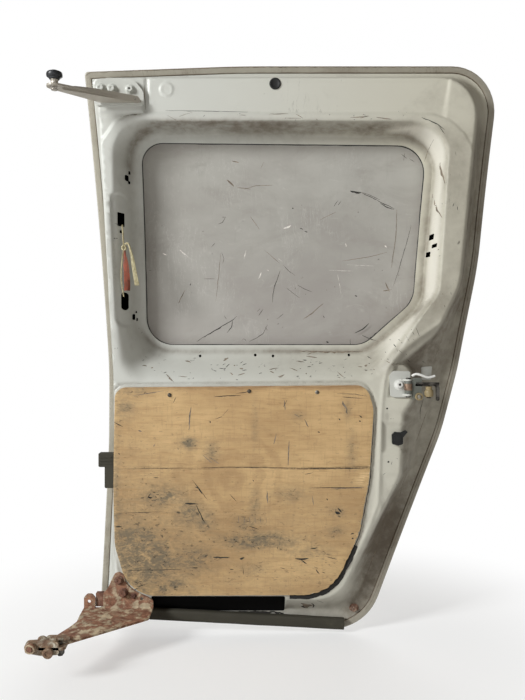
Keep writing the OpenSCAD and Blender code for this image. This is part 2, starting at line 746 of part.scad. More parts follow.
// Frayed tail of the cord, a tube swept along its route from the knot
tassel_d = 5;
tassel_route = [
  [53, -96, 824], [58, -98, 826], [62, -99, 821], [65, -99, 810], [68, -99, 798],
  [70, -98, 786], [72, -97, 774], [74, -96, 762], [76, -95, 750], [78, -94, 738]
];
tassel_sides = 10;
function heading(route, i) =
  unit(route[min(i + 1, len(route) - 1)] - route[max(i - 1, 0)]);
function ring(at, along, r, sides) =
  let (
    across = unit(cross([0, 1, 0], along)),
    up = cross(along, across)
  )
  [for (k = [0 : sides - 1]) at + r * (cos(360 * k / sides) * across + sin(360 * k / sides) * up)];
module swept_tube(route, d, sides) {
  n = len(route);
  points = [for (i = [0 : n - 1]) each ring(route[i], heading(route, i), d / 2, sides)];
  polyhedron(points, concat(
    [[for (k = [0 : sides - 1]) k]],
    [[for (k = [sides - 1 : -1 : 0]) (n - 1) * sides + k]],
    [for (i = [0 : n - 2]) for (k = [0 : sides - 1])
      [i * sides + k, (i + 1) * sides + k, (i + 1) * sides + (k + 1) % sides,
        i * sides + (k + 1) % sides]]
  ));
}
module cord_tassel() {
  color("#d9d0b8") placed() swept_tube(tassel_route, tassel_d, tassel_sides);
}

// Outside pull handle
handle_x = 96;
handle_z = 560;
module handle_base() {
  color(steel_paint) placed() translate([handle_x - 80, 0, handle_z - 30])
    cube([170, 6, 60]);
}
module handle_grip() {
  color(steel_paint) placed() translate([handle_x - 72, 6, handle_z - 15]) {
    cube([16, 28, 30]);
    translate([138, 0, 0]) cube([16, 28, 30]);
    translate([0, 20, 0]) cube([154, 10, 30]);
  }
}

outer_skin();
window_blank();
window_bead();
inner_panel();
plywood_panel();
plywood_screws();
bottom_seal();
upper_arm();
upper_arm_bolts();
upper_roller_pin();
upper_roller();
lower_arm();
lower_arm_bolts();
lower_carriage();
lower_pivot_pin();
lower_guide_front();
lower_guide_rear();
lower_load_wheel();
lower_guide_pins();
lower_wheel_axle();
centre_bracket();
centre_bracket_bolt();
centre_hinge_pin();
centre_carriage();
centre_guide_roller();
centre_guide_pin();
centre_load_wheel();
centre_wheel_axle();
hinge_reinforcement();
top_plug();
rear_grommet();
corner_bolt();
front_guide_block();
pull_cord();
pull_strap();
cord_tassel();
handle_base();
handle_grip();
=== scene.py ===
import math

import bmesh
import bpy
import numpy as np
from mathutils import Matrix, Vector
from mathutils.geometry import delaunay_2d_cdt
from mathutils.noise import fractal

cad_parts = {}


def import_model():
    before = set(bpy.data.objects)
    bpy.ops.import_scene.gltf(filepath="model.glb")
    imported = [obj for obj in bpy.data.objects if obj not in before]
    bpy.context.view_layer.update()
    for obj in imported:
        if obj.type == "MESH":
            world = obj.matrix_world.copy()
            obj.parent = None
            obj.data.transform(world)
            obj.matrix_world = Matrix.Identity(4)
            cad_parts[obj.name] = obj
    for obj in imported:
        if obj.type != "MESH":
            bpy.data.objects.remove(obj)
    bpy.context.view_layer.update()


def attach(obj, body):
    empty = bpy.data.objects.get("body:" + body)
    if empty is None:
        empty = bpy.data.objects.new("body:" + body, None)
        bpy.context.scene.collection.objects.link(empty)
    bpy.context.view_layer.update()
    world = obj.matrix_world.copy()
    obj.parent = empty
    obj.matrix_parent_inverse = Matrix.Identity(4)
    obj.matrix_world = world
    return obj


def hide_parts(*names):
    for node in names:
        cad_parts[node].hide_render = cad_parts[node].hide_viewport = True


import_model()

# Camera: level, square on to the inside of the door
CAMERA_PLACE = (0.353, -1.454, 0.548)
FOCAL_MM = 38.26
SENSOR_MM = 36


def set_camera():
    data = bpy.data.cameras.new("photo_view")
    data.lens = FOCAL_MM
    data.sensor_width = SENSOR_MM
    data.sensor_fit = "AUTO"
    camera = bpy.data.objects.new("photo_view", data)
    camera.location = CAMERA_PLACE
    camera.rotation_euler = (math.pi / 2, 0, 0)
    bpy.context.scene.collection.objects.link(camera)
    bpy.context.scene.camera = camera


set_camera()

# Door coordinates in millimetres: X to the rear, Z up from the lower front corner, -Y into the van
ORIGIN = np.array([-13.0, -196.0, 55.0])


def row(points):
    return (np.asarray(points, float) - ORIGIN) / 1000


# Driving sizes of the door
TOP_Z = 1204
BELT_Z = 600
UPPER_BEND_R = 2600
LOWER_BEND_R = 4800
SKIN_T = 1.6
PANEL_T = 1.6
HEM_W = 14
FRAME_DEPTH = 75
FRAME_LEAN = 50
LEAN_START_Z = 560
BLANK_T = 3.2
BEAD_T = 2
SEAT_W = 20
BLANK_GAP = 2.5
PLY_T = 6
FRONT_LEAN = 38
REAR_TOP_X = 845
REAR_FOOT_X = 562
FLANGE_IN = SKIN_T + PANEL_T
STRIP_IN = BLANK_T + BEAD_T + SKIN_T + PANEL_T
PLY_FACE = -FRAME_DEPTH - PLY_T
PAD_LEAN = math.atan(FRAME_LEAN / (TOP_Z - LEAN_START_Z))


def rear(z):
    heights = [-4, 425, BELT_Z - 40, BELT_Z + 190, TOP_Z]
    edges = [REAR_FOOT_X, REAR_TOP_X - 110, REAR_TOP_X - 74, REAR_TOP_X - 30, REAR_TOP_X]
    return float(np.interp(z, heights, edges))


def front(z):
    return float(np.interp(z, [26, BELT_Z - 200, BELT_Z - 40, TOP_Z - 11],
        [-12, 1, 1, -FRONT_LEAN]))


def skin_y(z):
    z = np.asarray(z, float)
    radius = np.where(z > BELT_Z, UPPER_BEND_R, LOWER_BEND_R)
    return np.sqrt(radius ** 2 - (z - BELT_Z) ** 2) - radius


def face_y(z):
    z = np.asarray(z, float)
    return -FRAME_DEPTH - FRAME_LEAN * np.maximum(0, z - LEAN_START_Z) / (TOP_Z - LEAN_START_Z)


FOOT_IN = HEM_W + 4
skin_corners = [
    (front(TOP_Z), TOP_Z - 11, 8), (290, TOP_Z, 3000), (REAR_TOP_X, TOP_Z, 96),
    (rear(790), 790, 900), (rear(560), 560, 700), (rear(425), 425, 500),
    (REAR_FOOT_X, -4, 110), (-12, 26, 10), (1, 400, 1500), (1, 560, 1500),
]
upper_corners = [
    (front(TOP_Z) + 34, TOP_Z - 38, 25), (REAR_TOP_X - 57, TOP_Z - 38, 80),
    (rear(740) - 50, 740, 150), (rear(640) - 80, 640, 80), (rear(560) - 159, 560, 60),
    (rear(520) - 160, 520, 20), (front(520) + 15, 520, 20), (front(740) + 23, 740, 600),
    (front(930) + 28, 930, 600), (front(1070) + 31, 1070, 600),
]
upper_feet = [
    (front(TOP_Z) + FOOT_IN, TOP_Z - 27, 20), (REAR_TOP_X - 20, TOP_Z - 21, 80),
    (rear(740) - 20, 740, 150), (rear(640) - 24, 640, 80), (rear(560) - 26, 560, 60),
    (rear(520) - 28, 520, 20), (front(520) + FOOT_IN, 520, 20), (front(740) + FOOT_IN, 740, 600),
    (front(930) + FOOT_IN, 930, 600), (front(1070) + FOOT_IN, 1070, 600),
]
lower_corners = [
    (front(575) + 15, 575, 20), (rear(575) - 118, 575, 30), (rear(500) - 98, 500, 15),
    (rear(470) - 110, 470, 20), (rear(335) - 67, 335, 60), (rear(255) - 76, 255, 200),
    (rear(165) - 85, 165, 300), (rear(74) - 94, 74, 70), (front(76) + 40, 76, 40),
    (front(230) + 30, 230, 300), (front(400) + 22, 400, 300),
]
lower_feet = [
    (front(590) + FOOT_IN, 590, 20), (rear(585) - 28, 585, 30), (rear(500) - 30, 500, 15),
    (rear(450) - 35, 450, 20), (rear(335) - 28, 335, 60), (rear(285) - 48, 280, 120),
    (rear(160) - 50, 160, 300), (rear(50) - 52, 46, 70), (front(48) + FOOT_IN, 48, 30),
    (front(230) + FOOT_IN, 230, 300), (front(400) + FOOT_IN, 400, 300),
]
window_corners = [
    (78, TOP_Z - 154, 45), (rear(1043) - 138, TOP_Z - 160, 60), (rear(711) - 127, 711, 60),
    (rear(614) - 217, 614, 60), (85, 614, 60),
]
mouth_corners = [
    (36, TOP_Z - 131, 66), (rear(1073) - 109, TOP_Z - 131, 66), (rear(725) - 93, 725, 60),
    (rear(545) - 190, 545, 60), (45, 540, 50),
]
PLY_TOP = BELT_Z - 71
PLY_FOOT = 84
PLY_RIGHT = rear(PLY_TOP - 49) - 175
ply_corners = [
    (28, PLY_TOP - 5, 25), (PLY_RIGHT - 15, PLY_TOP, 30), (PLY_RIGHT, PLY_TOP - 49, 60),
    (PLY_RIGHT - 9, 330, 200), (PLY_RIGHT - 30, 215, 150), (PLY_RIGHT - 90, PLY_FOOT + 2, 90),
    (60, PLY_FOOT, 75), (28, PLY_FOOT + 106, 100), (25, 300, 300),
]
ACCESS_MARGIN = 28


# Outlines in X and Z
def unit(v):
    return v / np.linalg.norm(v)


def corner_arc(before, here, after, radius, count):
    u, v = unit(here - before), unit(after - here)
    turn = u[0] * v[1] - u[1] * v[0]
    half = math.acos(max(-1.0, min(1.0, float(u @ v)))) / 2
    side = 1 if turn < 0 else -1
    start = here - u * radius * math.tan(half)
    centre = start + np.array([u[1], -u[0]]) * radius * side
    first = math.atan2(*(start - centre)[::-1])
    angles = first - side * 2 * half * np.linspace(0, 1, count)
    return centre + radius * np.stack([np.cos(angles), np.sin(angles)], 1)


def rounded(corners, count=10):
    flat = [np.array(c[:2], float) for c in corners]
    arcs = [
        corner_arc(flat[i - 1], flat[i], flat[(i + 1) % len(flat)], corners[i][2], count)
        for i in range(len(flat))
    ]
    return np.concatenate(arcs)


def inset(corners, by):
    flat = [np.array(c[:2], float) for c in corners]
    moved = []
    for i, here in enumerate(flat):
        u, v = unit(here - flat[i - 1]), unit(flat[(i + 1) % len(flat)] - here)
        nu, nv = np.array([u[1], -u[0]]), np.array([v[1], -v[0]])
        place = here + (nu + nv) * by / (1 + nu @ nv)
        turn = u[0] * v[1] - u[1] * v[0]
        moved.append((place[0], place[1], max(1.0, corners[i][2] + (-by if turn < 0 else by))))
    return moved


def shares(loop, step):
    lengths = np.linalg.norm(np.roll(loop, -1, 0) - loop, axis=1)
    return [max(1, round(length / step)) for length in lengths]


def divide(loop, counts):
    following = np.roll(loop, -1, 0)
    pieces = [
        a + (b - a) * np.linspace(0, 1, n, endpoint=False)[:, None]
        for a, b, n in zip(loop, following, counts)
    ]
    return np.concatenate(pieces)


def run_lengths(line):
    """Length along a line up to each of its points."""
    return np.concatenate([[0], np.cumsum(np.linalg.norm(np.diff(line, axis=0), axis=1))])


def points_at(line, run, places):
    return np.stack([np.interp(places, run, line[:, k]) for k in range(line.shape[1])], 1)


def even_loop(loop, step):
    ends = np.vstack([loop, loop[:1]])
    run = run_lengths(ends)
    places = np.linspace(0, run[-1], max(8, int(run[-1] / step)), endpoint=False)
    return points_at(ends, run, places)


def soft_outline(corners, by, step, count=12):
    """Rounded outline, moved inwards and cut in even steps."""
    return even_loop(rounded(inset(corners, by), count), step)


def sideways(ahead):
    """Unit vectors square to directions in X and Z."""
    return np.stack([ahead[:, 1], -ahead[:, 0]], 1) / np.maximum(np.linalg.norm(ahead, axis=1),
        1e-6)[:, None]


strip_corners = inset(window_corners, -SEAT_W)


def signed_distance(points, loop):
    a, b = loop, np.roll(loop, -1, 0)
    edge = b - a
    lengths = np.maximum((edge ** 2).sum(1), 1e-9)
    result = np.empty(len(points))
    for first in range(0, len(points), 4000):
        p = points[first:first + 4000, None, :]
        along = np.clip(((p - a) * edge).sum(2) / lengths, 0, 1)
        near = np.sqrt(((p - a - along[..., None] * edge) ** 2).sum(2)).min(1)
        crossing = (a[:, 1] > p[..., 1]) != (b[:, 1] > p[..., 1])
        slope = edge[:, 0] / np.where(edge[:, 1] == 0, 1e-9, edge[:, 1])
        hits = crossing & (p[..., 0] < a[:, 0] + (p[..., 1] - a[:, 1]) * slope)
        inside = hits.sum(1) % 2 == 1
        result[first:first + 4000] = np.where(inside, near, -near)
    return result


def distance_to_line(points, line):
    line = np.asarray(line, float)
    best = np.full(len(points), 1e9)
    place = np.zeros(len(points))
    run = 0.0
    for a, b in zip(line[:-1], line[1:]):
        edge = b - a
        length = float(np.linalg.norm(edge))
        along = np.clip(((points - a) @ edge) / length ** 2, 0, 1)
        near = np.linalg.norm(points - a - along[:, None] * edge, axis=1)
        closer = near < best
        best = np.where(closer, near, best)
        place = np.where(closer, run + along * length, place)
        run += length
    return best, place / run


def soft_zero(t, e):
    e = np.maximum(e, 1e-6)
    return np.where(t < -e, 0, np.where(t > e, t, (t + e) ** 2 / (4 * e)))


def ramp(t, low, high):
    return soft_zero(t, low) - soft_zero(t - 1, high)


def smooth(t):
    t = np.clip(t, 0, 1)
    return t * t * (3 - 2 * t)


def soft_max(a, b, width):
    gap = np.maximum(width - np.abs(a - b), 0) / width
    return np.maximum(a, b) + gap * gap * width / 4


def bell(distance, width):
    return np.exp(-(distance / width) ** 2)


def box_mask(points, x0, x1, z0, z1, soft):
    x, z = points[:, 0], points[:, 1]
    inside = np.minimum(np.minimum(x - x0, x1 - x), np.minimum(z - z0, z1 - z))
    return smooth(inside / soft + 0.5)


# Relief of the pressed inner panel
FOOT_ROUND = 7
EDGE_ROUND = 4.5
rail_foot = [
    (-40, 940), (-14, 985), (6, 1035), (34, 1074), (66, 1088), (110, 1091), (400, 1091),
    (690, 1090), (728, 1078), (758, 1052), (776, 1022), (800, 960),
]
rail_above = rail_foot + [(900, 960), (900, 1300), (-140, 1300), (-140, 940)]
ridge_line = [
    (718, 664), (684, 639), (667, 630), (637, 606), (618, 584), (605, 563), (598, 537),
    (594, 505), (591, 465), (587, 343), (584, 279), (570, 240), (556, 207), (543, 180), (522, 145),
]
pocket_area = [
    (700, 646), (668, 622), (640, 598), (622, 574), (613, 548), (608, 520), (607, 503),
    (700, 503), (760, 560), (790, 640), (800, 700),
]
lock_recess = [(39, 916), (43, 800), (48, 669)]
LOCK_RECESS_R = 15.5
LOCK_RECESS_DEEP = 7.5
RAIL_DEEP = 4.5
corner_facet = [(727, 1170), (716, 1088)]
groove_by_pad = [(101, 1161), (101, 1100)]
PAD_LOOP = [(-4, 1094), (-4, 1146), (10, 1158), (60, 1156), (80, 1146), (92, 1128), (94, 1094)]
bosses = [(142, 1140, 15), (56, 965, 19), (69, 674, 17)]


def frame_share(points):
    def share(corners, feet):
        face = signed_distance(points, rounded(corners))
        foot = signed_distance(points, rounded(feet))
        run = np.maximum(foot - face, 4.0)
        return foot / run, run

    upper, upper_run = share(upper_corners, upper_feet)
    lower, lower_run = share(lower_corners, lower_feet)
    run = np.where(upper > lower, upper_run, lower_run)
    return soft_max(upper, lower, 0.12), run


def panel_features(points):
    x, z = points[:, 0], points[:, 1]
    deep = np.zeros(len(points))
    above = signed_distance(points, np.array(rail_above, float))
    pad = signed_distance(points, np.array(PAD_LOOP, float))
    deep += RAIL_DEEP * smooth((above + 3) / 7) * (1 - smooth((pad + 3) / 5))
    ridge, _ = distance_to_line(points, ridge_line)
    deep -= 2.2 * bell(ridge, 4.5)
    pocket = signed_distance(points, np.array(pocket_area, float))
    deep += 6 * smooth((pocket + 4) / 12)
    deep += 5 * box_mask(points, 597, 660, 388, 448, 12)
    deep += 2.5 * smooth((476 - z) / 10) * smooth((x - 600) / 8) * smooth((z - 448) / 10)
    deep += 2 * smooth((342 - z) / 8) * smooth((x - 590) / 8)
    lock, _ = distance_to_line(points, lock_recess)
    deep += LOCK_RECESS_DEEP * (1 - smooth((lock - LOCK_RECESS_R + 3) / 6))
    seat = signed_distance(points, rounded(inset(ply_corners, -7)))
    deep += 2.0 * bell(seat, 1.8) * smooth((z - 300) / 60)
    facet_t = (z - corner_facet[1][1]) / (corner_facet[0][1] - corner_facet[1][1])
    facet_x = corner_facet[1][0] + facet_t * (corner_facet[0][0] - corner_facet[1][0])
    facet_w = 15 - 11 * np.clip(facet_t, 0, 1)
    deep -= 3.2 * smooth((x - facet_x) / facet_w + 0.5) * smooth((above + 2) / 7)
    groove, _ = distance_to_line(points, groove_by_pad)
    deep += 3.2 * bell(groove, 3.6)
    for bx, bz, radius in bosses[:1]:
        away = np.hypot(x - bx, z - bz)
        deep -= 2.6 * (1 - smooth((away - radius + 4) / 5))
        deep += 1.3 * (1 - smooth((away - radius + 7) / 5))
    for bx, bz, radius in bosses[1:]:
        away = np.hypot(x - bx, z - bz)
        deep += 3.0 * (1 - smooth((away - radius + 3) / 6))
    return deep


def panel_y(points):
    points = np.asarray(points, float)
    z = points[:, 1]
    flange = skin_y(z) - FLANGE_IN
    share, run = frame_share(points)
    rise = ramp(share, FOOT_ROUND / run, EDGE_ROUND / run)
    mouth = signed_distance(points, rounded(mouth_corners))
    strip = signed_distance(points, rounded(strip_corners))
    width = np.maximum(mouth - strip, 6.0)
    x = points[:, 0]
    soft = np.maximum(1 - smooth((x - 60) / 90), 1 - smooth((z - 600) / 70))
    fall = ramp(mouth / width, (3.5 + 9 * soft) / width, (4 + 9 * soft) / width)
    face = face_y(z) + panel_features(points) * np.clip(1.4 - 1.4 * fall, 0, 1)
    shell = flange + (face - flange) * rise
    seat = skin_y(z) - STRIP_IN
    return np.where(fall > 0, shell + (seat - shell) * fall, shell)


def blank_y(points):
    points = np.asarray(points, float)
    wave = 0.35 * np.sin(points[:, 0] / 71 + 1) * np.sin(points[:, 1] / 93)
    return skin_y(points[:, 1]) - BLANK_T - 0.35 + wave


def ply_y(points):
    points = np.asarray(points, float)
    wave = 0.3 * np.sin(points[:, 0] / 120) * np.sin(points[:, 1] / 85 + 2)
    return PLY_FACE - 0.4 + wave


# Materials
MATERIALS = {}


def shade(tone, by):
    return tuple(min(1.0, c * by) for c in tone)


class Tree:
    def __init__(self, tree):
        self.tree = tree

    def node(self, kind, **settings):
        made = self.tree.nodes.new("ShaderNode" + kind)
        for name, value in settings.items():
            setattr(made, name, value)
        return made

    def put(self, target, value):
        if isinstance(value, bpy.types.NodeSocket):
            self.tree.links.new(value, target)
        elif target.type == "RGBA":
            target.default_value = (*value, 1.0)
        else:
            target.default_value = value

    def fed(self, kind, output, inputs, **settings):
        """One output of a new node whose inputs are filled."""
        made = self.node(kind, **settings)
        for name, value in inputs.items():
            self.put(made.inputs[name], value)
        return made.outputs[output]

    def noise(self, vector, scale, detail=4.0, roughness=0.55, distortion=0.0):
        inputs = {"Vector": vector, "Scale": scale, "Detail": detail, "Roughness": roughness,
            "Distortion": distortion}
        return self.fed("TexNoise", "Fac", inputs)

    def stretch(self, vector, scale):
        return self.fed("Mapping", "Vector", {"Vector": vector, "Scale": scale})

    def math(self, operation, a, b=0.0, clamp=False):
        return self.fed("Math", 0, {0: a, 1: b}, operation=operation, use_clamp=clamp)

    def times(self, a, b, clamp=False):
        return self.math("MULTIPLY", a, b, clamp)

    def plus(self, a, b):
        return self.math("ADD", a, b)

    def minus(self, a, b):
        return self.math("SUBTRACT", a, b)

    def vector(self, operation, a, b=(0, 0, 0), output="Vector"):
        return self.fed("VectorMath", output, {0: a, 1: b}, operation=operation)

    def step(self, value, low, high):
        inputs = {"Value": value, "From Min": low, "From Max": high}
        return self.fed("MapRange", "Result", inputs, interpolation_type="SMOOTHSTEP")

    def mix(self, share, a, b):
        return self.fed("Mix", 2, {"Factor": share, 6: a, 7: b}, data_type="RGBA")

    def layered(self, base, *layers):
        """Base colour under layers of (mask, share, tone)."""
        for mask, share, tone in layers:
            base = self.mix(self.times(mask, share), base, tone)
        return base

    def use(self, group, place, **numbers):
        return self.fed("Group", "Mask", {"Place": place, **numbers}, node_tree=group)


class MaskGroup(Tree):
    """Node group that makes one mask from a place and some numbers."""
    def __init__(self, name, **numbers):
        super().__init__(bpy.data.node_groups.new(name, "ShaderNodeTree"))
        sockets = self.tree.interface.new_socket
        sockets("Place", in_out="INPUT", socket_type="NodeSocketVector")
        for label, value in numbers.items():
            sockets(label, in_out="INPUT", socket_type="NodeSocketFloat").default_value = value
        sockets("Mask", in_out="OUTPUT", socket_type="NodeSocketFloat")
        self.given = self.tree.nodes.new("NodeGroupInput").outputs
        self.end = self.tree.nodes.new("NodeGroupOutput").inputs["Mask"]
        self.at = self.given["Place"]

    def done(self, mask):
        self.put(self.end, mask)
        return self.tree


def make_patches():
    """Blotches with a ragged edge that cover a share of the surface."""
    t = MaskGroup("ragged_patches", Scale=20.0, Cover=0.5, Edge=0.04)
    wide = t.noise(t.at, t.given["Scale"], 7.0, 0.62, 0.4)
    low = t.minus(1.0, t.given["Cover"])
    return t.done(t.step(wide, low, t.plus(low, t.given["Edge"])))


def make_streaks():
    """Fine scratches that run one way, thinned out by a wide noise."""
    t = MaskGroup("fine_streaks", Scale=30.0, Cover=0.3)
    warp = t.vector("ADD", t.at, t.times(t.noise(t.at, 6.0, 2.0), 0.06))
    lines = t.noise(t.stretch(warp, (1.0, 1.0, 0.06)), t.given["Scale"], 5.0, 0.7)
    thin = t.step(t.math("ABSOLUTE", t.minus(lines, 0.5)), 0.012, 0.0)
    low = t.minus(1.0, t.given["Cover"])
    return t.done(t.times(thin, t.step(t.noise(t.at, 9.0, 3.0), low, t.plus(low, 0.12))))


def make_grime_and_shade():
    """Dirt gathered in hollows and smudges, from a hollow value and a wide noise; where the hollow
    value marks shaded creases and slopes, its darkening is painted shade.
    """
    t = MaskGroup("grime_and_painted_shade", Hollow=0.0, Amount=0.5)
    wide, small = t.noise(t.at, 5.5, 6.0, 0.65, 0.6), t.noise(t.at, 55.0, 5.0, 0.6)
    mixed = t.plus(t.times(wide, 0.7), t.times(small, 0.3))
    held = t.times(t.given["Hollow"], t.plus(0.55, t.times(t.step(mixed, 0.35, 0.6), 0.7)))
    smudge = t.times(t.step(mixed, 0.5, 0.72), 0.3)
    return t.done(t.times(t.plus(held, smudge), t.given["Amount"], clamp=True))


def make_specks():
    """Small chips scattered over a surface."""
    t = MaskGroup("small_chips", Scale=90.0, Size=0.12)
    warp = t.vector("ADD", t.at, t.times(t.noise(t.at, 160.0, 3.0), 0.012))
    cells = t.fed("TexVoronoi", "Distance", {"Vector": warp, "Scale": t.given["Scale"]})
    some = t.step(t.noise(t.at, 17.0, 3.0), 0.56, 0.62)
    return t.done(t.times(t.step(cells, t.given["Size"], 0.0), some))


PATCHES = make_patches()
STREAKS = make_streaks()
GRIME_AND_SHADE = make_grime_and_shade()
SPECKS = make_specks()


class Finish(Tree):
    def __init__(self, name, roughness=0.5, metallic=0.0):
        MATERIALS[name] = bpy.data.materials.new(name)
        MATERIALS[name].use_nodes = True
        super().__init__(MATERIALS[name].node_tree)
        self.shader = self.tree.nodes["Principled BSDF"]
        self.set("Roughness", roughness)
        self.set("Metallic", metallic)
        self.at = self.node("TexCoord").outputs["Object"]

    def set(self, name, value):
        self.put(self.shader.inputs[name], value)

    def value(self, name):
        return self.node("Attribute", attribute_name=name).outputs["Fac"]

    def axis(self, name):
        return self.fed("SeparateXYZ", name, {0: self.at})

    def streaky(self, scale, *noise):
        """Noise stretched along the axes."""
        return self.noise(self.stretch(self.at, scale), *noise)

    def bump(self, height, strength, distance):
        self.set("Normal", self.fed("Bump", "Normal",
            {"Height": height, "Strength": strength, "Distance": distance}))


def aged_paint(name, paint, dirt_and_shade, bare, grime_and_shade=0.6, chips=0.1, streaks=0.35, inside=None):
    """Thin old paint: blotchy, with dirt and painted shade in its hollows, scratches and chips to
    bare metal.

    inside is the near-black tone of the sheet's back, for the two sheets of the shell: painted
    shade, so that the inside of the shell reads dark through its holes. On these two sheets the
    paint also turns warmer and darker towards +X as painted shade, and the painted_highlight value
    lightens it as a painted highlight."""
    f = Finish(name, 0.42)
    base = f.mix(f.step(f.noise(f.at, 3.2, 3.0), 0.35, 0.65), shade(paint, 0.96), paint)
    if inside:
        # Painted shade: the paint turns warmer and darker towards +X, the side away from the key
        # light.
        warm_shade = tuple(c * by for c, by in zip(paint, (0.99, 0.94, 0.84)))
        base = f.mix(f.step(f.axis("X"), 0.1, 0.85), base, warm_shade)
    mask = f.use(GRIME_AND_SHADE, f.at, Hollow=f.value("hollow"), Amount=grime_and_shade)
    lines = f.use(STREAKS, f.at, Scale=46.0, Cover=streaks)
    chip = f.use(SPECKS, f.at, Scale=70.0, Size=chips)
    worn = f.times(f.value("edge"), f.step(f.noise(f.at, 70.0, 5.0), 0.5, 0.62))
    bare_share = f.math("MAXIMUM", chip, worn)
    base = f.layered(base, (mask, 1.0, dirt_and_shade), (lines, 0.45, shade(dirt_and_shade, 0.55)),
        (bare_share, 1.0, bare))
    if inside:
        # Painted shade: back faces take the near-black inside tone, with their reflection turned
        # down, so the inside of the shell reads dark through its holes.
        behind = f.node("NewGeometry").outputs["Backfacing"]
        # Painted highlight: the painted_highlight value lightens the paint where the key light
        # falls on the funnel's right facet.
        base = f.layered(base, (f.value("painted_highlight"), 1.0, (0.75, 0.72, 0.645)), (behind, 1.0, inside))
        f.set("Specular IOR Level", f.minus(0.5, f.times(behind, 0.45)))
    f.set("Base Color", base)
    f.set("Roughness", f.plus(0.36, f.times(f.plus(mask, bare_share), 0.35)))
    f.bump(f.minus(f.times(f.noise(f.at, 240.0, 2.0), 0.3), bare_share), 0.25, 0.0006)


def scratched_primer(name):
    """Matt grey primer of the window blank, wiped and scratched."""
    f = Finish(name, 0.6)
    tone = f.streaky((1.0, 1.0, 1.6), 3.4, 5.0, 0.6, 0.3)
    wipe = f.streaky((0.6, 1.0, 1.0), 12.0, 8.0, 0.72, 0.8)
    rub = f.streaky((6.0, 1.0, 0.9), 16.0, 6.0, 0.7)
    pale = f.streaky((0.7, 1.0, 1.3), 30.0, 7.0, 0.75, 1.0)
    f.set("Base Color", f.layered(
        f.mix(f.step(tone, 0.32, 0.68), (0.36, 0.342, 0.315), (0.455, 0.445, 0.41)),
        (f.step(f.axis("Z"), 0.86, 0.58), 0.3, (0.36, 0.32, 0.31)),
        (f.step(wipe, 0.48, 0.72), 0.42, (0.30, 0.275, 0.25)),
        (f.step(rub, 0.55, 0.78), 0.22, (0.27, 0.25, 0.23)),
        (f.step(pale, 0.56, 0.75), 0.35, (0.62, 0.61, 0.57)),
        (f.use(STREAKS, f.at, Scale=60.0, Cover=0.5), 0.35, (0.66, 0.65, 0.62)),
        (f.use(SPECKS, f.at, Scale=60.0, Size=0.13), 1.0, (0.09, 0.08, 0.075)),
        # The hollow value darkens the blank near the window's edge: painted shade.
        (f.value("hollow"), 0.35, (0.2, 0.18, 0.16)),
    ))
    f.set("Specular IOR Level", 0.3)
    f.bump(f.plus(wipe, f.noise(f.at, 300.0, 2.0)), 0.15, 0.0006)


def rusty_paint(name, paint, cover, rust_dark, rust_light):
    """Rusted steel with cream paint left in flakes."""
    f = Finish(name, 0.75)
    grain = f.noise(f.at, 75.0, 8.0, 0.7)
    wide, bloom = f.noise(f.at, 16.0, 4.0, 0.6), f.noise(f.at, 38.0, 7.0, 0.7, 0.5)
    rust = f.layered(
        f.mix(f.step(grain, 0.35, 0.65), rust_dark, rust_light),
        (f.step(wide, 0.5, 0.7), 0.6, shade(rust_dark, 0.45)),
        (f.step(bloom, 0.5, 0.68), 0.6, shade(paint, 0.75)))
    flakes = f.use(PATCHES, f.at, Scale=48.0, Cover=cover, Edge=0.13)
    rim = f.use(PATCHES, f.at, Scale=48.0, Cover=cover + 0.04, Edge=0.1)
    cream = f.mix(f.step(grain, 0.4, 0.62), shade(paint, 0.66), paint)
    layers = (rim, 1.0, shade(rust_light, 0.6)), (flakes, 1.0, cream), (f.value("edge"), 0.7, rust)
    f.set("Base Color", f.layered(rust, *layers))
    f.set("Roughness", f.minus(0.85, f.times(flakes, 0.3)))
    f.bump(f.plus(f.times(grain, 0.6), flakes), 0.6, 0.0008)


def greased_metal(name, light, dark, metallic=0.6, roughness=0.45):
    """Worn steel darkened by old grease."""
    f = Finish(name, roughness, metallic)
    wide = f.noise(f.at, 60.0, 6.0, 0.65)
    f.set("Base Color", f.layered(
        f.mix(f.step(wide, 0.4, 0.62), dark, light), (f.value("edge"), 0.6, shade(light, 1.6))))
    f.set("Roughness", f.plus(roughness - 0.1, f.times(wide, 0.3)))
    f.bump(wide, 0.3, 0.0004)


def moulded(name, tone, dust, roughness=0.55, amount=0.5):
    """Rubber or plastic with dust lying on it."""
    f = Finish(name, roughness)
    f.set("Base Color", f.mix(f.use(GRIME_AND_SHADE, f.at, Hollow=f.value("hollow"), Amount=amount), tone,
        dust))
    f.bump(f.noise(f.at, 420.0, 3.0), 0.2, 0.0004)


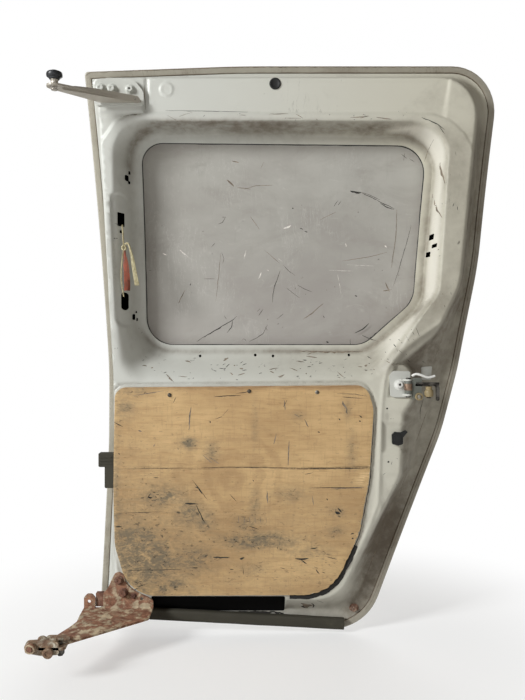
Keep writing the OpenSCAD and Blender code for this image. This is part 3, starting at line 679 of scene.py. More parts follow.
def weathered_plywood(name):
    """Rotary-cut face veneer: grain along X, an oval figure, soot, painted shade in the lower left,
    a painted shadow along the top edge, flecks and torn fibres.
    """
    f = Finish(name, 0.72)
    grain = f.streaky((0.8, 1.0, 8.0), 22.0, 9.0, 0.72, 0.6)
    fine = f.streaky((0.22, 1.0, 12.0), 70.0, 6.0, 0.75)
    wide = f.streaky((1.0, 1.0, 1.6), 5.0, 4.0, 0.6)
    cross = f.streaky((9.0, 1.0, 0.8), 30.0, 5.0, 0.7)
    from_knot = f.vector("SUBTRACT", f.stretch(f.at, (1.0, 0.0, 1.2)), (0.292, 0.0, 0.335))
    warped = f.plus(f.vector("LENGTH", from_knot, output="Value"),
        f.times(f.noise(f.at, 8.0, 6.0, 0.65), 0.15))
    figure = f.times(f.step(f.math("SINE", f.times(warped, 150.0)), -0.3, 1.0),
        f.step(warped, 0.3, 0.13))
    # Painted shadow: a dark band along the sheet's top edge, with a ragged lower border.
    top_edge_shadow = f.plus(f.axis("Z"), f.times(f.streaky((1.0, 0.0, 0.0), 28.0, 5.0), 0.012))

    # Soot in the smudges, and painted shade that darkens the lower and left parts, most of all the
    # lower left corner
    lower, left = f.step(f.axis("Z"), 0.4, 0.05), f.step(f.axis("X"), 0.3, 0.05)
    shaded = f.plus(f.times(lower, 0.26), f.times(left, 0.16))
    soot_and_shade = f.plus(f.times(f.value("smudge"), 1.9), f.plus(f.times(f.times(lower, left), 0.5),
        shaded))
    soot_and_shade = f.math("MINIMUM", soot_and_shade, 1.35)
    mottle = f.streaky((0.8, 1.0, 1.3), 40.0, 9.0, 0.8, 0.7)
    cloud = f.streaky((0.8, 1.0, 1.4), 130.0, 6.0, 0.7)
    uneven = f.plus(f.times(f.step(mottle, 0.3, 0.75), 0.75),
        f.times(f.step(cloud, 0.3, 0.75), 0.5))
    dark = f.math("MINIMUM", f.times(soot_and_shade, uneven), 0.9)
    spots = f.use(SPECKS, f.stretch(f.at, (0.7, 1.0, 1.4)), Scale=75.0, Size=0.16)
    flecks = f.times(spots, f.plus(0.4, f.times(soot_and_shade, 1.4)), clamp=True)
    tiny = f.use(PATCHES, f.stretch(f.at, (0.8, 1.0, 1.6)), Scale=120.0, Cover=0.4, Edge=0.05)
    tiny = f.times(tiny, f.plus(0.16, f.times(soot_and_shade, 0.9)), clamp=True)
    fibres = f.step(f.streaky((0.25, 1.0, 5.0), 110.0, 4.0, 0.7), 0.42, 0.58)
    f.set("Base Color", f.layered(
        f.mix(f.step(wide, 0.3, 0.7), (0.49, 0.32, 0.158), (0.69, 0.475, 0.24)),
        (f.step(grain, 0.42, 0.72), 0.55, (0.40, 0.235, 0.105)),
        (f.step(fine, 0.5, 0.75), 0.4, (0.78, 0.56, 0.32)),
        (f.step(fine, 0.42, 0.25), 0.35, (0.34, 0.21, 0.11)),
        (figure, 0.27, (0.33, 0.2, 0.1)),
        (f.step(cross, 0.52, 0.75), 0.42, (0.36, 0.23, 0.12)),
        (f.step(top_edge_shadow, 0.467, 0.477), 0.75, (0.27, 0.15, 0.075)),
        (dark, 1.0, (0.165, 0.14, 0.1)),
        (flecks, 1.0, (0.05, 0.038, 0.025)),
        (tiny, 1.0, (0.09, 0.07, 0.05)),
        (f.value("torn"), fibres, (0.84, 0.62, 0.34)),
        (f.value("hollow"), 0.85, (0.05, 0.04, 0.03)),
    ))
    f.set("Roughness", f.plus(0.62, f.times(grain, 0.25)))
    f.set("Specular IOR Level", 0.25)
    f.bump(f.plus(f.times(grain, 0.6), fine), 0.5, 0.0008)


def woven(name, light, dark, scale):
    """Twisted or woven yarn."""
    f = Finish(name, 0.9)
    twist = f.streaky((1.0, 1.0, 0.25), scale, 4.0, 0.7)
    f.set("Base Color", f.mix(f.step(twist, 0.35, 0.65), dark, light))
    f.set("Sheen Weight", 0.3)
    f.bump(twist, 0.6, 0.0006)


def plain_mark(name, tone):
    """Scratch, smear or stain with an uneven tone; the black one also serves as painted shade in
    bolt holes and as painted shadow lines on the panel.
    """
    f = Finish(name, 0.8)
    f.set("Base Color", f.mix(f.step(f.noise(f.at, 120.0, 4.0), 0.35, 0.7), tone, shade(tone, 1.9)))


FRAME_COAT = (0.61, 0.615, 0.575), (0.17, 0.14, 0.105), (0.12, 0.105, 0.09)
DOOR_COAT = (0.66, 0.67, 0.64), (0.42, 0.39, 0.34), (0.2, 0.18, 0.16), 0.25, 0.05, 0.2
aged_paint("frame_paint", *FRAME_COAT)
# The last tone given to pressed_paint and skin_paint is the near-black back of the sheet: painted
# shade.
aged_paint("pressed_paint", *FRAME_COAT, 0.7, 0.12, 0.4, (0.02, 0.019, 0.018))
aged_paint("door_paint", *DOOR_COAT)
aged_paint("skin_paint", *DOOR_COAT, (0.004, 0.004, 0.004))
aged_paint("hem_paint", (0.42, 0.395, 0.33), (0.17, 0.135, 0.095), (0.13, 0.09, 0.065), 1.0, 0.16,
    0.5)
aged_paint("arm_steel", (0.40, 0.365, 0.31), (0.2, 0.165, 0.13), (0.17, 0.1, 0.065), 0.9, 0.2, 0.4)
aged_paint("painted_bolts", (0.62, 0.63, 0.59), (0.28, 0.25, 0.2), (0.1, 0.09, 0.08), 0.8, 0.1, 0.1)
aged_paint("white_bolt", (0.78, 0.78, 0.75), (0.34, 0.32, 0.28), (0.2, 0.18, 0.16), 0.6, 0.08, 0.1)
aged_paint("grey_green", (0.15, 0.16, 0.14), (0.09, 0.085, 0.075), (0.12, 0.1, 0.09), 1.0, 0.14,
    0.3)
scratched_primer("blank_primer")
weathered_plywood("plywood")
moulded("black_rubber", (0.009, 0.0095, 0.01), (0.09, 0.085, 0.07), 0.6, 0.3)
moulded("dusty_rubber", (0.042, 0.038, 0.026), (0.2, 0.175, 0.115), 0.75, 1.0)
moulded("roller_nylon", (0.02, 0.022, 0.026), (0.1, 0.095, 0.09), 0.4, 0.4)
moulded("aged_nylon", (0.34, 0.265, 0.14), (0.06, 0.045, 0.028), 0.5, 1.6)
moulded("black_plastic", (0.02, 0.02, 0.02), (0.09, 0.085, 0.08), 0.5, 0.3)
moulded("butyl", (0.014, 0.013, 0.012), (0.36, 0.36, 0.33), 0.7, 0.95)
rusty_paint("rusty_steel", (0.66, 0.54, 0.375), 0.54, (0.17, 0.072, 0.045), (0.40, 0.205, 0.125))
rusty_paint("rusty_dark", (0.46, 0.36, 0.27), 0.4, (0.1, 0.045, 0.032), (0.27, 0.13, 0.085))
rusty_paint("worn_cast_steel", (0.55, 0.5, 0.4), 0.5, (0.13, 0.07, 0.045), (0.33, 0.22, 0.14))
greased_metal("old_zinc", (0.42, 0.39, 0.34), (0.1, 0.085, 0.065), 0.6, 0.5)
greased_metal("greasy_steel", (0.16, 0.15, 0.135), (0.03, 0.027, 0.024))
greased_metal("stem_steel", (0.62, 0.58, 0.52), (0.3, 0.27, 0.23), 0.5, 0.4)
greased_metal("bush_copper", (0.33, 0.225, 0.16), (0.1, 0.065, 0.045), 0.5, 0.45)
woven("cotton_cord", (0.62, 0.565, 0.36), (0.3, 0.245, 0.13), 420.0)
woven("red_webbing", (0.30, 0.06, 0.028), (0.14, 0.05, 0.03), 300.0)
plain_mark("black_marks_and_shadows", (0.02, 0.018, 0.016))
plain_mark("brown_marks", (0.15, 0.12, 0.09))
plain_mark("pale_marks", (0.5, 0.48, 0.45))


# Meshes
def finish_piece(obj, material, node=None, body="door"):
    obj.data.materials.append(MATERIALS[material])
    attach(obj, body)
    if node:
        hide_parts(node)
    return obj


def lay(flat, y):
    """Points in space from points in X and Z."""
    return np.stack([flat[:, 0], np.broadcast_to(y, len(flat)), flat[:, 1]], 1)


def rough(places, *settings):
    """Fractal noise at each place."""
    return np.array([fractal(Vector(p), *settings) for p in places])


def new_object(name, points, faces, values=None, sharp=38, merge=0.0):
    """Object from points in door millimetres. values holds named numbers for each point."""
    mesh = bpy.data.meshes.new(name)
    mesh.from_pydata([tuple(p) for p in row(points)], [], [tuple(int(i) for i in f) for f in faces])
    for label, numbers in (values or {}).items():
        layer = mesh.attributes.new(label, "FLOAT", "POINT")
        layer.data.foreach_set("value", np.asarray(numbers, np.float32))
    mesh.update()
    obj = bpy.data.objects.new(name, mesh)
    bpy.context.scene.collection.objects.link(obj)
    work = bmesh.new()
    work.from_mesh(mesh)
    bmesh.ops.recalc_face_normals(work, faces=work.faces)
    if merge:
        bmesh.ops.remove_doubles(work, verts=work.verts, dist=merge)
        bmesh.ops.recalc_face_normals(work, faces=work.faces)
    work.to_mesh(mesh)
    work.free()
    for polygon in mesh.polygons:
        polygon.use_smooth = True
    if sharp:
        mesh.set_sharp_from_angle(angle=math.radians(sharp))
    return obj


def face_out(obj, way):
    """Turns an open sheet so that its front looks along Y in the given way."""
    towards = sum(p.normal.y * p.area for p in obj.data.polygons)
    if towards * way < 0:
        obj.data.flip_normals()


def filled(scattered, outline, holes=()):
    """Triangles inside an outline and outside its holes, over scattered points."""
    points = [Vector(p) for p in scattered]
    edges = []
    for loop in (outline, *holes):
        first, count = len(points), len(loop)
        points += [Vector(p) for p in loop]
        edges += [(first + i, first + (i + 1) % count) for i in range(count)]
    made = delaunay_2d_cdt(points, edges, [], 0, 1e-4)
    flat, triangles = np.array([tuple(p) for p in made[0]]), np.array(made[2])
    centres = flat[triangles].mean(1)
    keep = signed_distance(centres, outline) > 0
    for hole in holes:
        keep &= signed_distance(centres, hole) < 0
    triangles = triangles[keep]
    used = np.unique(triangles)
    order = np.full(len(flat), -1)
    order[used] = np.arange(len(used))
    return flat[used], order[triangles]


def border_edges(triangles):
    seen = {}
    for a, b, c in triangles:
        for u, v in ((a, b), (b, c), (c, a)):
            key = (min(u, v), max(u, v))
            seen[key] = None if key in seen else (u, v)
    return [pair for pair in seen.values() if pair]


def slab(triangles, count):
    """Faces of a sheet, of the same sheet behind it and of the walls between them."""
    faces = [tuple(f) for f in triangles] + [(c + count, b + count, a + count)
        for a, b, c in triangles]
    return faces + [(int(v), int(u), int(u) + count, int(v) + count)
        for u, v in border_edges(triangles)]


def padded(values, total):
    """Values for a sheet's points, and zeros for the points added behind them."""
    return np.append(values, np.zeros(total - len(values)))


def thinned(scattered, cell):
    """One point from each cell of a grid, in the order given."""
    keys = np.unique(np.round(scattered / cell).astype(int), axis=0, return_index=True)[1]
    return scattered[np.sort(keys)]


def add_rim(points, triangles, deep):
    """Turns the sheet's free edges back by a distance, so that it shows its thickness."""
    borders = border_edges(triangles)
    faces = [tuple(f) for f in triangles]
    ends = sorted({int(i) for pair in borders for i in pair})
    place = {old: len(points) + k for k, old in enumerate(ends)}
    back = points[ends].copy()
    back[:, 1] += np.broadcast_to(deep, len(points))[ends]
    for u, v in borders:
        faces.append((int(v), int(u), place[int(u)], place[int(v)]))
    return np.vstack([points, back]), faces


def grid(x0, x1, z0, z1, step):
    xs, zs = np.arange(x0, x1, step), np.arange(z0, z1, step)
    gx, gz = np.meshgrid(xs, zs)
    gx = gx + (np.arange(len(zs)) % 2)[:, None] * step / 2
    return np.stack([gx.ravel(), gz.ravel()], 1)


def rectangle(x0, x1, z0, z1, radius, lean=0.0):
    corners = [(x0 + lean, z1, radius), (x1 + lean, z1, radius), (x1, z0, radius), (x0, z0, radius)]
    return rounded(corners, 4)


def round_hole(x, z, diameter, count=20):
    angles = np.linspace(0, 2 * math.pi, count, endpoint=False)
    return np.stack([x + diameter / 2 * np.cos(angles), z + diameter / 2 * np.sin(angles)], 1)


PLUG_AT = (366, 1152)
rear_slots = [(705, 847, 5, 12, 1), (707.5, 826, 5, 8, 0.8), (700.5, 811, 5.5, 11, 0.8)]
belt_holes = [(203, 590), (324, 592), (363, 590), (530, 592)]
lock_holes = [
    (50.5, 969.5, 6, 13), (54.5, 982.5, 3.5, 8), (54, 962, 3.5, 7), (59.5, 675, 5, 13),
    (63.5, 686, 3, 5), (65, 670, 3, 7), (41, 853, 5, 7),
]


def slot_hole(x, z, wide, high, radius, lean=0.0):
    return rectangle(x - wide / 2, x + wide / 2, z - high / 2, z + high / 2, radius, lean)


def panel_holes():
    holes = [rectangle(35, 46.5, 864, 893, 1.5), rectangle(40, 52, 688, 726, 6)]
    holes += [slot_hole(x, z, wide, high, 0.8, lean) for x, z, wide, high, lean in rear_slots]
    holes += [slot_hole(x, z, wide, high, min(wide, high) * 0.45)
        for x, z, wide, high in lock_holes]
    holes += [round_hole(x, z, 6, 12) for x, z in belt_holes]
    holes += [round_hole(604, 479, 4, 10), round_hole(607, 366, 4, 10)]
    holes.append(round_hole(*PLUG_AT, 20))
    holes.append(rectangle(104, 388, 37, 82, 4))
    return holes


def pressed_panel():
    edge = rounded(inset(skin_corners, HEM_W + 0.5))
    edge = divide(edge, shares(edge, 6))
    window = soft_outline(window_corners, 0, 5)
    access = soft_outline(ply_corners, ACCESS_MARGIN, 12)
    holes = panel_holes()
    blocks = []

    # Rows of points along the bends, then grids that are finer where the relief is
    for corners, step, offsets in (
            (upper_corners, 4.2, (-8, -5, -2.6, -0.4, 2, 5)),
            (lower_corners, 4.2, (-8, -5, -2.6, -0.4, 2, 5)), (upper_feet, 5, (-6, -3, 0, 4, 8)),
            (lower_feet, 5, (-6, -3, 0, 4, 8)), (mouth_corners, 4.5, (-11, -7, -4, -1, 2, 5, 9)),
            (strip_corners, 4.5, (-14, -10, -6.5, -3, 0, 3.5, 7)),
            (window_corners, 6, (-9, -4)), (ply_corners, 6, (-3.6, -5.3, -7, -8.7, -10.4))):
        blocks += [soft_outline(corners, by, step) for by in offsets]
    for area in (
            (-40, 860, -5, 1205, 9.5), (22, 66, 645, 990, 3.4), (-12, 180, 1080, 1172, 3.4),
            (575, 730, 325, 670, 4.2), (700, 745, 1080, 1175, 3.6)):
        blocks.append(grid(*area))
    for line, half, step in ((rail_foot, 9, 3), (ridge_line, 8, 2.7)):
        line = np.array(line, float)
        run = run_lengths(line)
        middle = points_at(line, run, np.arange(0, run[-1], 4))
        side = sideways(np.gradient(middle, axis=0))
        blocks += [middle + side * by for by in np.arange(-half, half + 0.1, step)]
    scattered = np.concatenate(blocks)
    rng = np.random.default_rng(5)
    scattered = scattered + rng.uniform(-0.05, 0.05, scattered.shape)
    clear = (signed_distance(scattered, edge) > 2) & (signed_distance(scattered, window) < -2)
    clear &= signed_distance(scattered, access) < -3
    for hole in holes:
        near = (np.abs(scattered - hole.mean(0)) < (np.ptp(hole, axis=0) / 2 + 8)).all(1)
        inside = np.zeros(len(scattered), bool)
        inside[near] = signed_distance(scattered[near], hole) > -1.6
        clear &= ~inside
    flat, triangles = filled(thinned(scattered[clear], 2.1), edge, [window, access] + holes)
    y = panel_y(flat)
    # Values for the finish: where dirt and painted shade gather, and where a painted highlight
    # lightens the paint
    mouth = signed_distance(flat, rounded(mouth_corners))
    strip = signed_distance(flat, rounded(strip_corners))
    x, z = flat[:, 0], flat[:, 1]
    left = (1 - smooth((x - 60) / 60)) * (0.22 + 0.78 * smooth((z - 950) / 60))
    top_left = np.maximum(smooth((z - 1000) / 60), left)
    upper = signed_distance(flat, rounded(upper_corners))
    lower = signed_distance(flat, rounded(lower_corners))
    outside = -np.maximum(upper, lower)
    # Dirt and painted shade in the fillet round the top and left of the window.
    hollow = (0.78 * bell(strip + 4, 6) + 0.35 * bell(strip + 2, 14)) * top_left
    hollow += 0.5 * bell(strip - 4, 9) * smooth((x - 600) / 60)
    hollow += 0.7 * bell(strip - 6, 6) * (1 - smooth((z - 620) / 40))
    hollow += 0.15 * box_mask(flat, 90, 640, 560, 610, 30)
    # Dirt and painted shade on the outer slopes right of the window, and lower down on the right.
    beside = smooth(outside / 9) * smooth((x - 500) / 80) * (1 - smooth((z - 1060) / 60))
    hollow += (0.75 + 0.35 * smooth((320 - z) / 120)) * beside
    right = box_mask(flat, 700, 770, 690, 1060, 50)
    low_right = box_mask(flat, 560, 720, 560, 760, 60)
    hollow += 0.4 * right + 0.3 * low_right
    seam = bell(signed_distance(flat, rounded(inset(ply_corners, -7))), 3)
    hollow += 0.6 * smooth((95 - z) / 40) + 0.5 * seam
    # Painted highlight on the funnel's right facet, which faces the key light; it also clears the
    # darkening there.
    painted_highlight = 0.85 * smooth(mouth / 5) * smooth(-strip / 5) * smooth((x - 585) / 45)
    hollow *= 1 - 0.8 * painted_highlight
    to_flange = skin_y(z) - FLANGE_IN + 0.6 - y
    deep = np.where(signed_distance(flat, edge) < 1, np.maximum(2.2, to_flange), 2.2)
    points, faces = add_rim(lay(flat, y), triangles, deep)
    values = {"hollow": hollow, "painted_highlight": painted_highlight}
    values = {name: padded(np.clip(share, 0, 1), len(points)) for name, share in values.items()}
    obj = new_object("pressed_panel", points, faces, values, 50)
    face_out(obj, -1)
    return finish_piece(obj, "pressed_paint", "inner_panel")


def loft(rings, closed=True, wrap_ends=False):
    """Quads between rings that have the same number of points."""
    count = len(rings[0])
    faces = []
    spans = len(rings) if wrap_ends else len(rings) - 1
    for r in range(spans):
        a, b = r * count, ((r + 1) % len(rings)) * count
        for i in range(count if closed else count - 1):
            j = (i + 1) % count
            faces.append((a + i, a + j, b + j, b + i))
    return np.concatenate(rings), faces


def lofted_outline(corners, profile, step, count=12):
    """Rings that follow an outline; profile lists (distance inwards, distance behind the skin)."""
    cuts = shares(rounded(corners, count), step)
    rings = []
    for by, behind in profile:
        flat = divide(rounded(inset(corners, by), count), cuts)
        rings.append(lay(flat, skin_y(flat[:, 1]) - behind))
    return rings


HEM_IN = 2 * SKIN_T + PANEL_T


def door_skin():
    hem_profile = [
        (3.0, 0), (1.2, 0.2), (0.35, 0.9), (0, 2.2),
        (0.3, 3.8), (1.2, 4.6), (3, HEM_IN), (8, HEM_IN + 0.2),
        (HEM_W - 2, HEM_IN), (HEM_W - 0.4, HEM_IN - 0.5), (HEM_W, FLANGE_IN - 0.6),
    ]
    hem = lofted_outline(skin_corners, hem_profile, 8)
    points, faces = loft(hem)
    hollow = np.zeros(len(points))
    ring = len(hem[0])
    for k in (6, 7, 8):
        hollow[k * ring:(k + 1) * ring] = 0.25
    hollow[9 * ring:] = 1.0
    edge = np.zeros(len(points))
    edge[ring:4 * ring] = 1.0
    edge[4 * ring:5 * ring] = 0.5
    hem_obj = new_object("folded_hem", points, faces, {"hollow": hollow, "edge": edge}, 60)
    finish_piece(hem_obj, "hem_paint")

    blank_cut = inset(window_corners, -SEAT_W - BLANK_GAP)
    outline = hem[0][:, [0, 2]]
    step_profile = [
        (-3, 0), (-1, 0.3), (0, 1.4), (0.2, BLANK_T + BEAD_T - 1),
        (1.5, BLANK_T + BEAD_T), (SEAT_W + BLANK_GAP, BLANK_T + BEAD_T),
        (SEAT_W + BLANK_GAP, BLANK_T + BEAD_T + SKIN_T),
    ]
    joggle = lofted_outline(blank_cut, step_profile, 8)
    opening = joggle[0][:, [0, 2]]
    inner = grid(-45, 860, -5, 1205, 17)
    inner = inner[(signed_distance(inner, outline) > 5) & (signed_distance(inner, opening) < -5)]
    flat, triangles = filled(inner, outline, [opening])
    swage = 1.6 * bell(flat[:, 1] - BELT_Z + 22, 9) - 1.0 * bell(flat[:, 1] - 205, 12)
    keep_edge = smooth(signed_distance(flat, outline) / 30)
    keep_edge = keep_edge * smooth(-signed_distance(flat, opening) / 20)
    sheet = lay(flat, skin_y(flat[:, 1]) - np.abs(swage) * keep_edge)
    ring_points, ring_faces = loft(joggle)
    offset = len(sheet)
    all_points = np.vstack([sheet, ring_points])
    all_faces = [tuple(f) for f in triangles] + [tuple(i + offset for i in f) for f in ring_faces]
    obj = new_object("door_skin", all_points, all_faces, sharp=40, merge=2e-5)
    face_out(obj, 1)
    return finish_piece(obj, "skin_paint", "outer_skin")


def blank_panel():
    outline = soft_outline(window_corners, -SEAT_W, 8)
    inner = grid(40, 730, 560, 1090, 13)
    inner = inner[signed_distance(inner, outline) > 4]
    flat, triangles = filled(inner, outline)
    near = lay(flat, blank_y(flat))
    far = lay(flat, skin_y(flat[:, 1]))
    # Painted shade: the blank darkens towards the window's edge, in the corner of the recess.
    hollow = np.tile(bell(signed_distance(flat, rounded(window_corners)), 14), 2)
    obj = new_object("window_panel", np.vstack([near, far]), slab(triangles, len(flat)),
        {"hollow": hollow})
    return finish_piece(obj, "blank_primer", "window_blank")


def blank_bead():
    base = soft_outline(window_corners, -5, 6, 14)
    side = sideways(np.roll(base, -1, 0) - np.roll(base, 1, 0))
    half = 6.6 + 0.8 * rough([(x / 37, z / 37, 3.1) for x, z in base], 1.0, 2.0, 3)
    rings = []
    for share, lift in ((-1, 0.0), (-0.93, 0.8), (-0.4, 1.0), (0.5, 1.0), (0.92, 0.8), (1, 0.0),
            (0.9, -0.9), (-0.9, -0.9)):
        flat = base + side * (half * share)[:, None]
        y = skin_y(flat[:, 1]) - BLANK_T - BEAD_T / 2 - lift
        rings.append(lay(flat, y))
    points, faces = loft(rings, wrap_ends=True)
    return finish_piece(new_object("bonding_bead", points, faces), "black_rubber", "window_bead")


def ribbon(points, width, depth, lift=0.18):
    """Thin tapered strip that lies on a surface."""
    line = np.asarray(points, float)
    run = run_lengths(line)
    count = max(4, int(run[-1] / 4))
    middle = points_at(line, run, np.linspace(0, run[-1], count))
    side = sideways(np.gradient(middle, axis=0))
    seed = Vector((line[0][0] * 0.37, line[0][1] * 0.21, 1.7))
    wobble = rough([seed + Vector((k * 0.5, 0, 0)) for k in range(count)], 1.0, 2.0, 3)
    half = width / 2 * np.sin(np.linspace(0.12, math.pi - 0.12, count)) ** 0.6 * (1 + 0.6 * wobble)
    middle = middle + side * (wobble * width * 0.5)[:, None]
    rings = []
    for share in (-1, 1):
        flat = middle + side * (np.maximum(half, 0.12) * share)[:, None]
        rings.append(lay(flat, depth(flat) - lift))
    return loft(rings, closed=False)


def marks(name, strokes, depth, material):
    """Several strokes on one carrier, joined into one piece; a stroke is (width, points)."""
    points, faces, total = [], [], 0
    for width, line in strokes:
        p, f = ribbon(line, width, depth)
        points.append(p)
        faces += [tuple(i + total for i in quad) for quad in f]
        total += len(p)
    obj = new_object(name, np.concatenate(points), faces, None, None)
    return finish_piece(obj, material)


BLANK_DARK = [
    (2.2, [(195, 622), (215, 634), (240, 649), (274, 669), (284, 677)]),
    (1.5, [(274, 667), (272, 654), (261, 641)]),
    (1.2, [(379, 778), (373, 760), (366, 742), (363, 725), (362, 708)]),
    (0.8, [(385, 791), (398, 777), (412, 767)]), (0.8, [(393, 740), (408, 728), (422, 718)]),
    (0.9, [(417, 747), (432, 738), (450, 731)]), (5, [(531, 949), (543, 946), (555, 945)]),
    (1.3, [(555, 946), (577, 937), (597, 926), (617, 918), (629, 911)]),
    (0.8, [(548, 949), (572, 942), (597, 931)]), (1.8, [(597, 924), (612, 915), (628, 910)]),
    (0.8, [(666, 876), (658, 842), (648, 808), (639, 774), (629, 745)]),
    (1.2, [(259, 895), (253, 883), (243, 879)]), (0.8, [(251, 894), (258, 894)]),
    (1, [(505, 930), (496, 917)]), (0.7, [(512, 929), (505, 919)]),
    (0.7, [(250, 818), (255, 804), (253, 794)]), (1, [(228, 830), (236, 838)]),
    (1.6, [(422, 871), (429, 867)]), (1.6, [(432, 864), (439, 862)]),
    (2.4, [(405, 914), (408, 912)]), (1.2, [(341, 693), (331, 679)]),
    (0.8, [(335, 695), (328, 688)]), (1.2, [(386, 683), (372, 672)]),
    (1.1, [(351, 659), (341, 639), (326, 629), (310, 622)]), (1, [(346, 654), (351, 646)]),
    (3, [(544, 723), (549, 721)]), (1.5, [(474, 679), (477, 674)]), (3, [(481, 622), (486, 619)]),
    (2, [(181, 750), (180, 745)]), (0.8, [(534, 627), (535, 604)]), (3, [(578, 632), (588, 624)]),
    (1.6, [(586, 637), (598, 644)]), (0.8, [(641, 1027), (653, 1018)]),
    (0.6, [(648, 1030), (646, 1013)]), (0.7, [(658, 1018), (670, 1011)]),
    (0.7, [(211, 760), (235, 760)]), (0.8, [(89, 779), (96, 778)]), (1, [(255, 679), (260, 671)]),
    (0.7, [(294, 624), (299, 629), (304, 623)]),
]
BLANK_BROWN = [
    (2.8, [(611, 752), (620, 731)]), (1.9, [(606, 734), (625, 736)]),
    (0.8, [(343, 1011), (336, 997)]), (1, [(300, 953), (324, 961), (363, 962)]),
    (2.2, [(274, 1013), (289, 1010)]), (3.3, [(263, 974), (278, 960)]),
    (1.7, [(285, 957), (314, 954)]), (0.9, [(248, 816), (243, 765), (237, 711)]),
    (0.8, [(466, 888), (500, 905)]), (1.1, [(516, 799), (575, 808), (614, 818)]),
    (2, [(430, 671), (452, 686), (474, 706)]), (2, [(600, 624), (623, 637)]),
    (1, [(314, 895), (334, 867)]), (2, [(154, 706), (169, 735)]),
    (1.4, [(634, 910), (633, 852), (624, 784)]), (0.8, [(344, 823), (378, 794)]),
]
BLANK_PALE = [
    (3.5, [(386, 869), (403, 876)]), (2.4, [(331, 760), (338, 774)]),
    (0.8, [(526, 791), (587, 788)]), (3, [(157, 823), (176, 808)]), (2, [(120, 816), (130, 812)]),
    (2, [(350, 780), (354, 777)]), (2.8, [(609, 833), (614, 827)]), (2, [(523, 838), (524, 830)]),
    (1.2, [(375, 804), (383, 798)]), (0.8, [(506, 769), (514, 725)]),
    (0.8, [(486, 779), (540, 777)]), (1.5, [(299, 804), (304, 823)]),
]
PLY_DARK = [
    (2, [(239, 505), (268, 506), (294, 507)]), (1.5, [(285, 511), (305, 514), (313, 516)]),
    (3, [(142, 510), (146, 507)]), (3, [(228, 453), (231, 450)]), (3, [(456, 430), (461, 429)]),
    (5, [(493, 262), (504, 258)]), (3, [(499, 270), (507, 261)]), (3, [(98, 293), (108, 291)]),
    (1.5, [(104, 301), (98, 291)]), (3.4, [(177, 280), (202, 278)]), (3, [(198, 314), (207, 312)]),
    (1.2, [(192, 329), (204, 314), (224, 287)]), (2, [(204, 314), (213, 299)]),
    (2.2, [(200, 276), (207, 261), (219, 238)]), (3, [(236, 167), (253, 165), (271, 166)]),
    (4.5, [(292, 163), (302, 164)]), (3.4, [(409, 163), (422, 162), (437, 164)]),
    (2, [(441, 184), (456, 186)]), (1.5, [(377, 144), (388, 141)]), (2, [(192, 144), (204, 144)]),
    (3.4, [(526, 214), (533, 216)]), (3.4, [(528, 206), (532, 205)]), (3, [(543, 464), (550, 461)]),
    (3, [(544, 454), (547, 452)]), (2, [(501, 459), (504, 455)]), (2.5, [(476, 290), (477, 286)]),
    (2, [(319, 329), (322, 326)]), (2.5, [(36, 385), (39, 383)]), (3, [(30, 231), (44, 230)]),
    (1.2, [(392, 498), (384, 483)]), (1, [(211, 355), (271, 356), (347, 355), (422, 354)]),
    (1.6, [(422, 354), (479, 354), (535, 353), (561, 352)]),
    (0.8, [(30, 352), (102, 353), (170, 354)]), (1, [(30, 259), (76, 260), (128, 262)]),
    (1.2, [(49, 138), (113, 139), (170, 141)]), (1.4, [(437, 312), (494, 313), (550, 312)]),
    (1, [(497, 511), (535, 510), (561, 505)]), (1, [(509, 504), (550, 501)]),
    (1.5, [(311, 232), (332, 225)]), (1.3, [(430, 341), (447, 344)]),
    (1.1, [(271, 299), (285, 284)]), (1.6, [(68, 97), (78, 101)]), (2, [(79, 105), (89, 107)]),
    (2.4, [(465, 134), (472, 132)]), (1.6, [(452, 141), (460, 131)]),
    (1.4, [(110, 334), (121, 334)]), (1.1, [(256, 464), (268, 478)]), (1, [(241, 457), (255, 463)]),
    (1.2, [(158, 504), (151, 491)]), (1.4, [(27, 451), (46, 441)]), (2.6, [(422, 160), (433, 152)]),
    (1.2, [(475, 167), (497, 162)]), (1.6, [(271, 141), (279, 140)]),
    (1.4, [(298, 146), (300, 129)]),
]
PLY_BROWN = [
    (4, [(78, 432), (85, 431)]), (4, [(509, 495), (516, 479), (519, 468)]),
    (3, [(189, 483), (186, 457), (185, 434)]), (2, [(386, 498), (388, 476)]),
    (3, [(349, 306), (351, 280)]), (1.6, [(445, 295), (448, 276)]), (2.4, [(396, 412), (394, 359)]),
    (2, [(484, 310), (554, 314)]), (1.4, [(64, 506), (132, 517)]), (2, [(369, 427), (364, 404)]),
    (1.6, [(110, 400), (113, 404)]), (2, [(407, 468), (418, 461)]), (2, [(288, 254), (290, 238)]),
    (1.2, [(302, 252), (302, 238)]), (1.2, [(313, 252), (314, 237)]),
    (1.2, [(324, 252), (325, 238)]), (1.2, [(335, 252), (336, 238)]),
    (1.2, [(347, 252), (348, 238)]), (2.2, [(428, 457), (437, 440)]),
    (1.6, [(226, 378), (249, 363)]), (1.4, [(213, 382), (234, 365)]),
]
PLY_SMUDGES = [
    (185, 406, 17, 11, 0.85), (234, 389, 15, 23, 0.45), (335, 201, 72, 15, 0.95),
    (132, 295, 41, 19, 0.55), (185, 261, 26, 23, 0.6), (219, 242, 19, 23, 0.5),
    (158, 110, 15, 8, 0.65), (132, 101, 11, 6, 0.5), (494, 220, 15, 11, 0.5),
    (317, 238, 30, 19, 0.45), (42, 212, 30, 9, 0.55), (98, 212, 23, 11, 0.5),
    (415, 464, 15, 9, 0.4), (520, 476, 8, 23, 0.35), (324, 446, 7, 49, 0.3),
    (400, 299, 34, 15, 0.35), (83, 163, 83, 45, 0.45), (49, 483, 19, 23, 0.45),
    (64, 517, 38, 8, 0.4), (528, 389, 11, 45, 0.3), (441, 178, 38, 11, 0.3),
    (317, 141, 26, 11, 0.3), (30, 351, 9, 113, 0.3), (200, 163, 38, 23, 0.45),
    (497, 261, 15, 11, 0.5), (324, 284, 11, 26, 0.4),
]


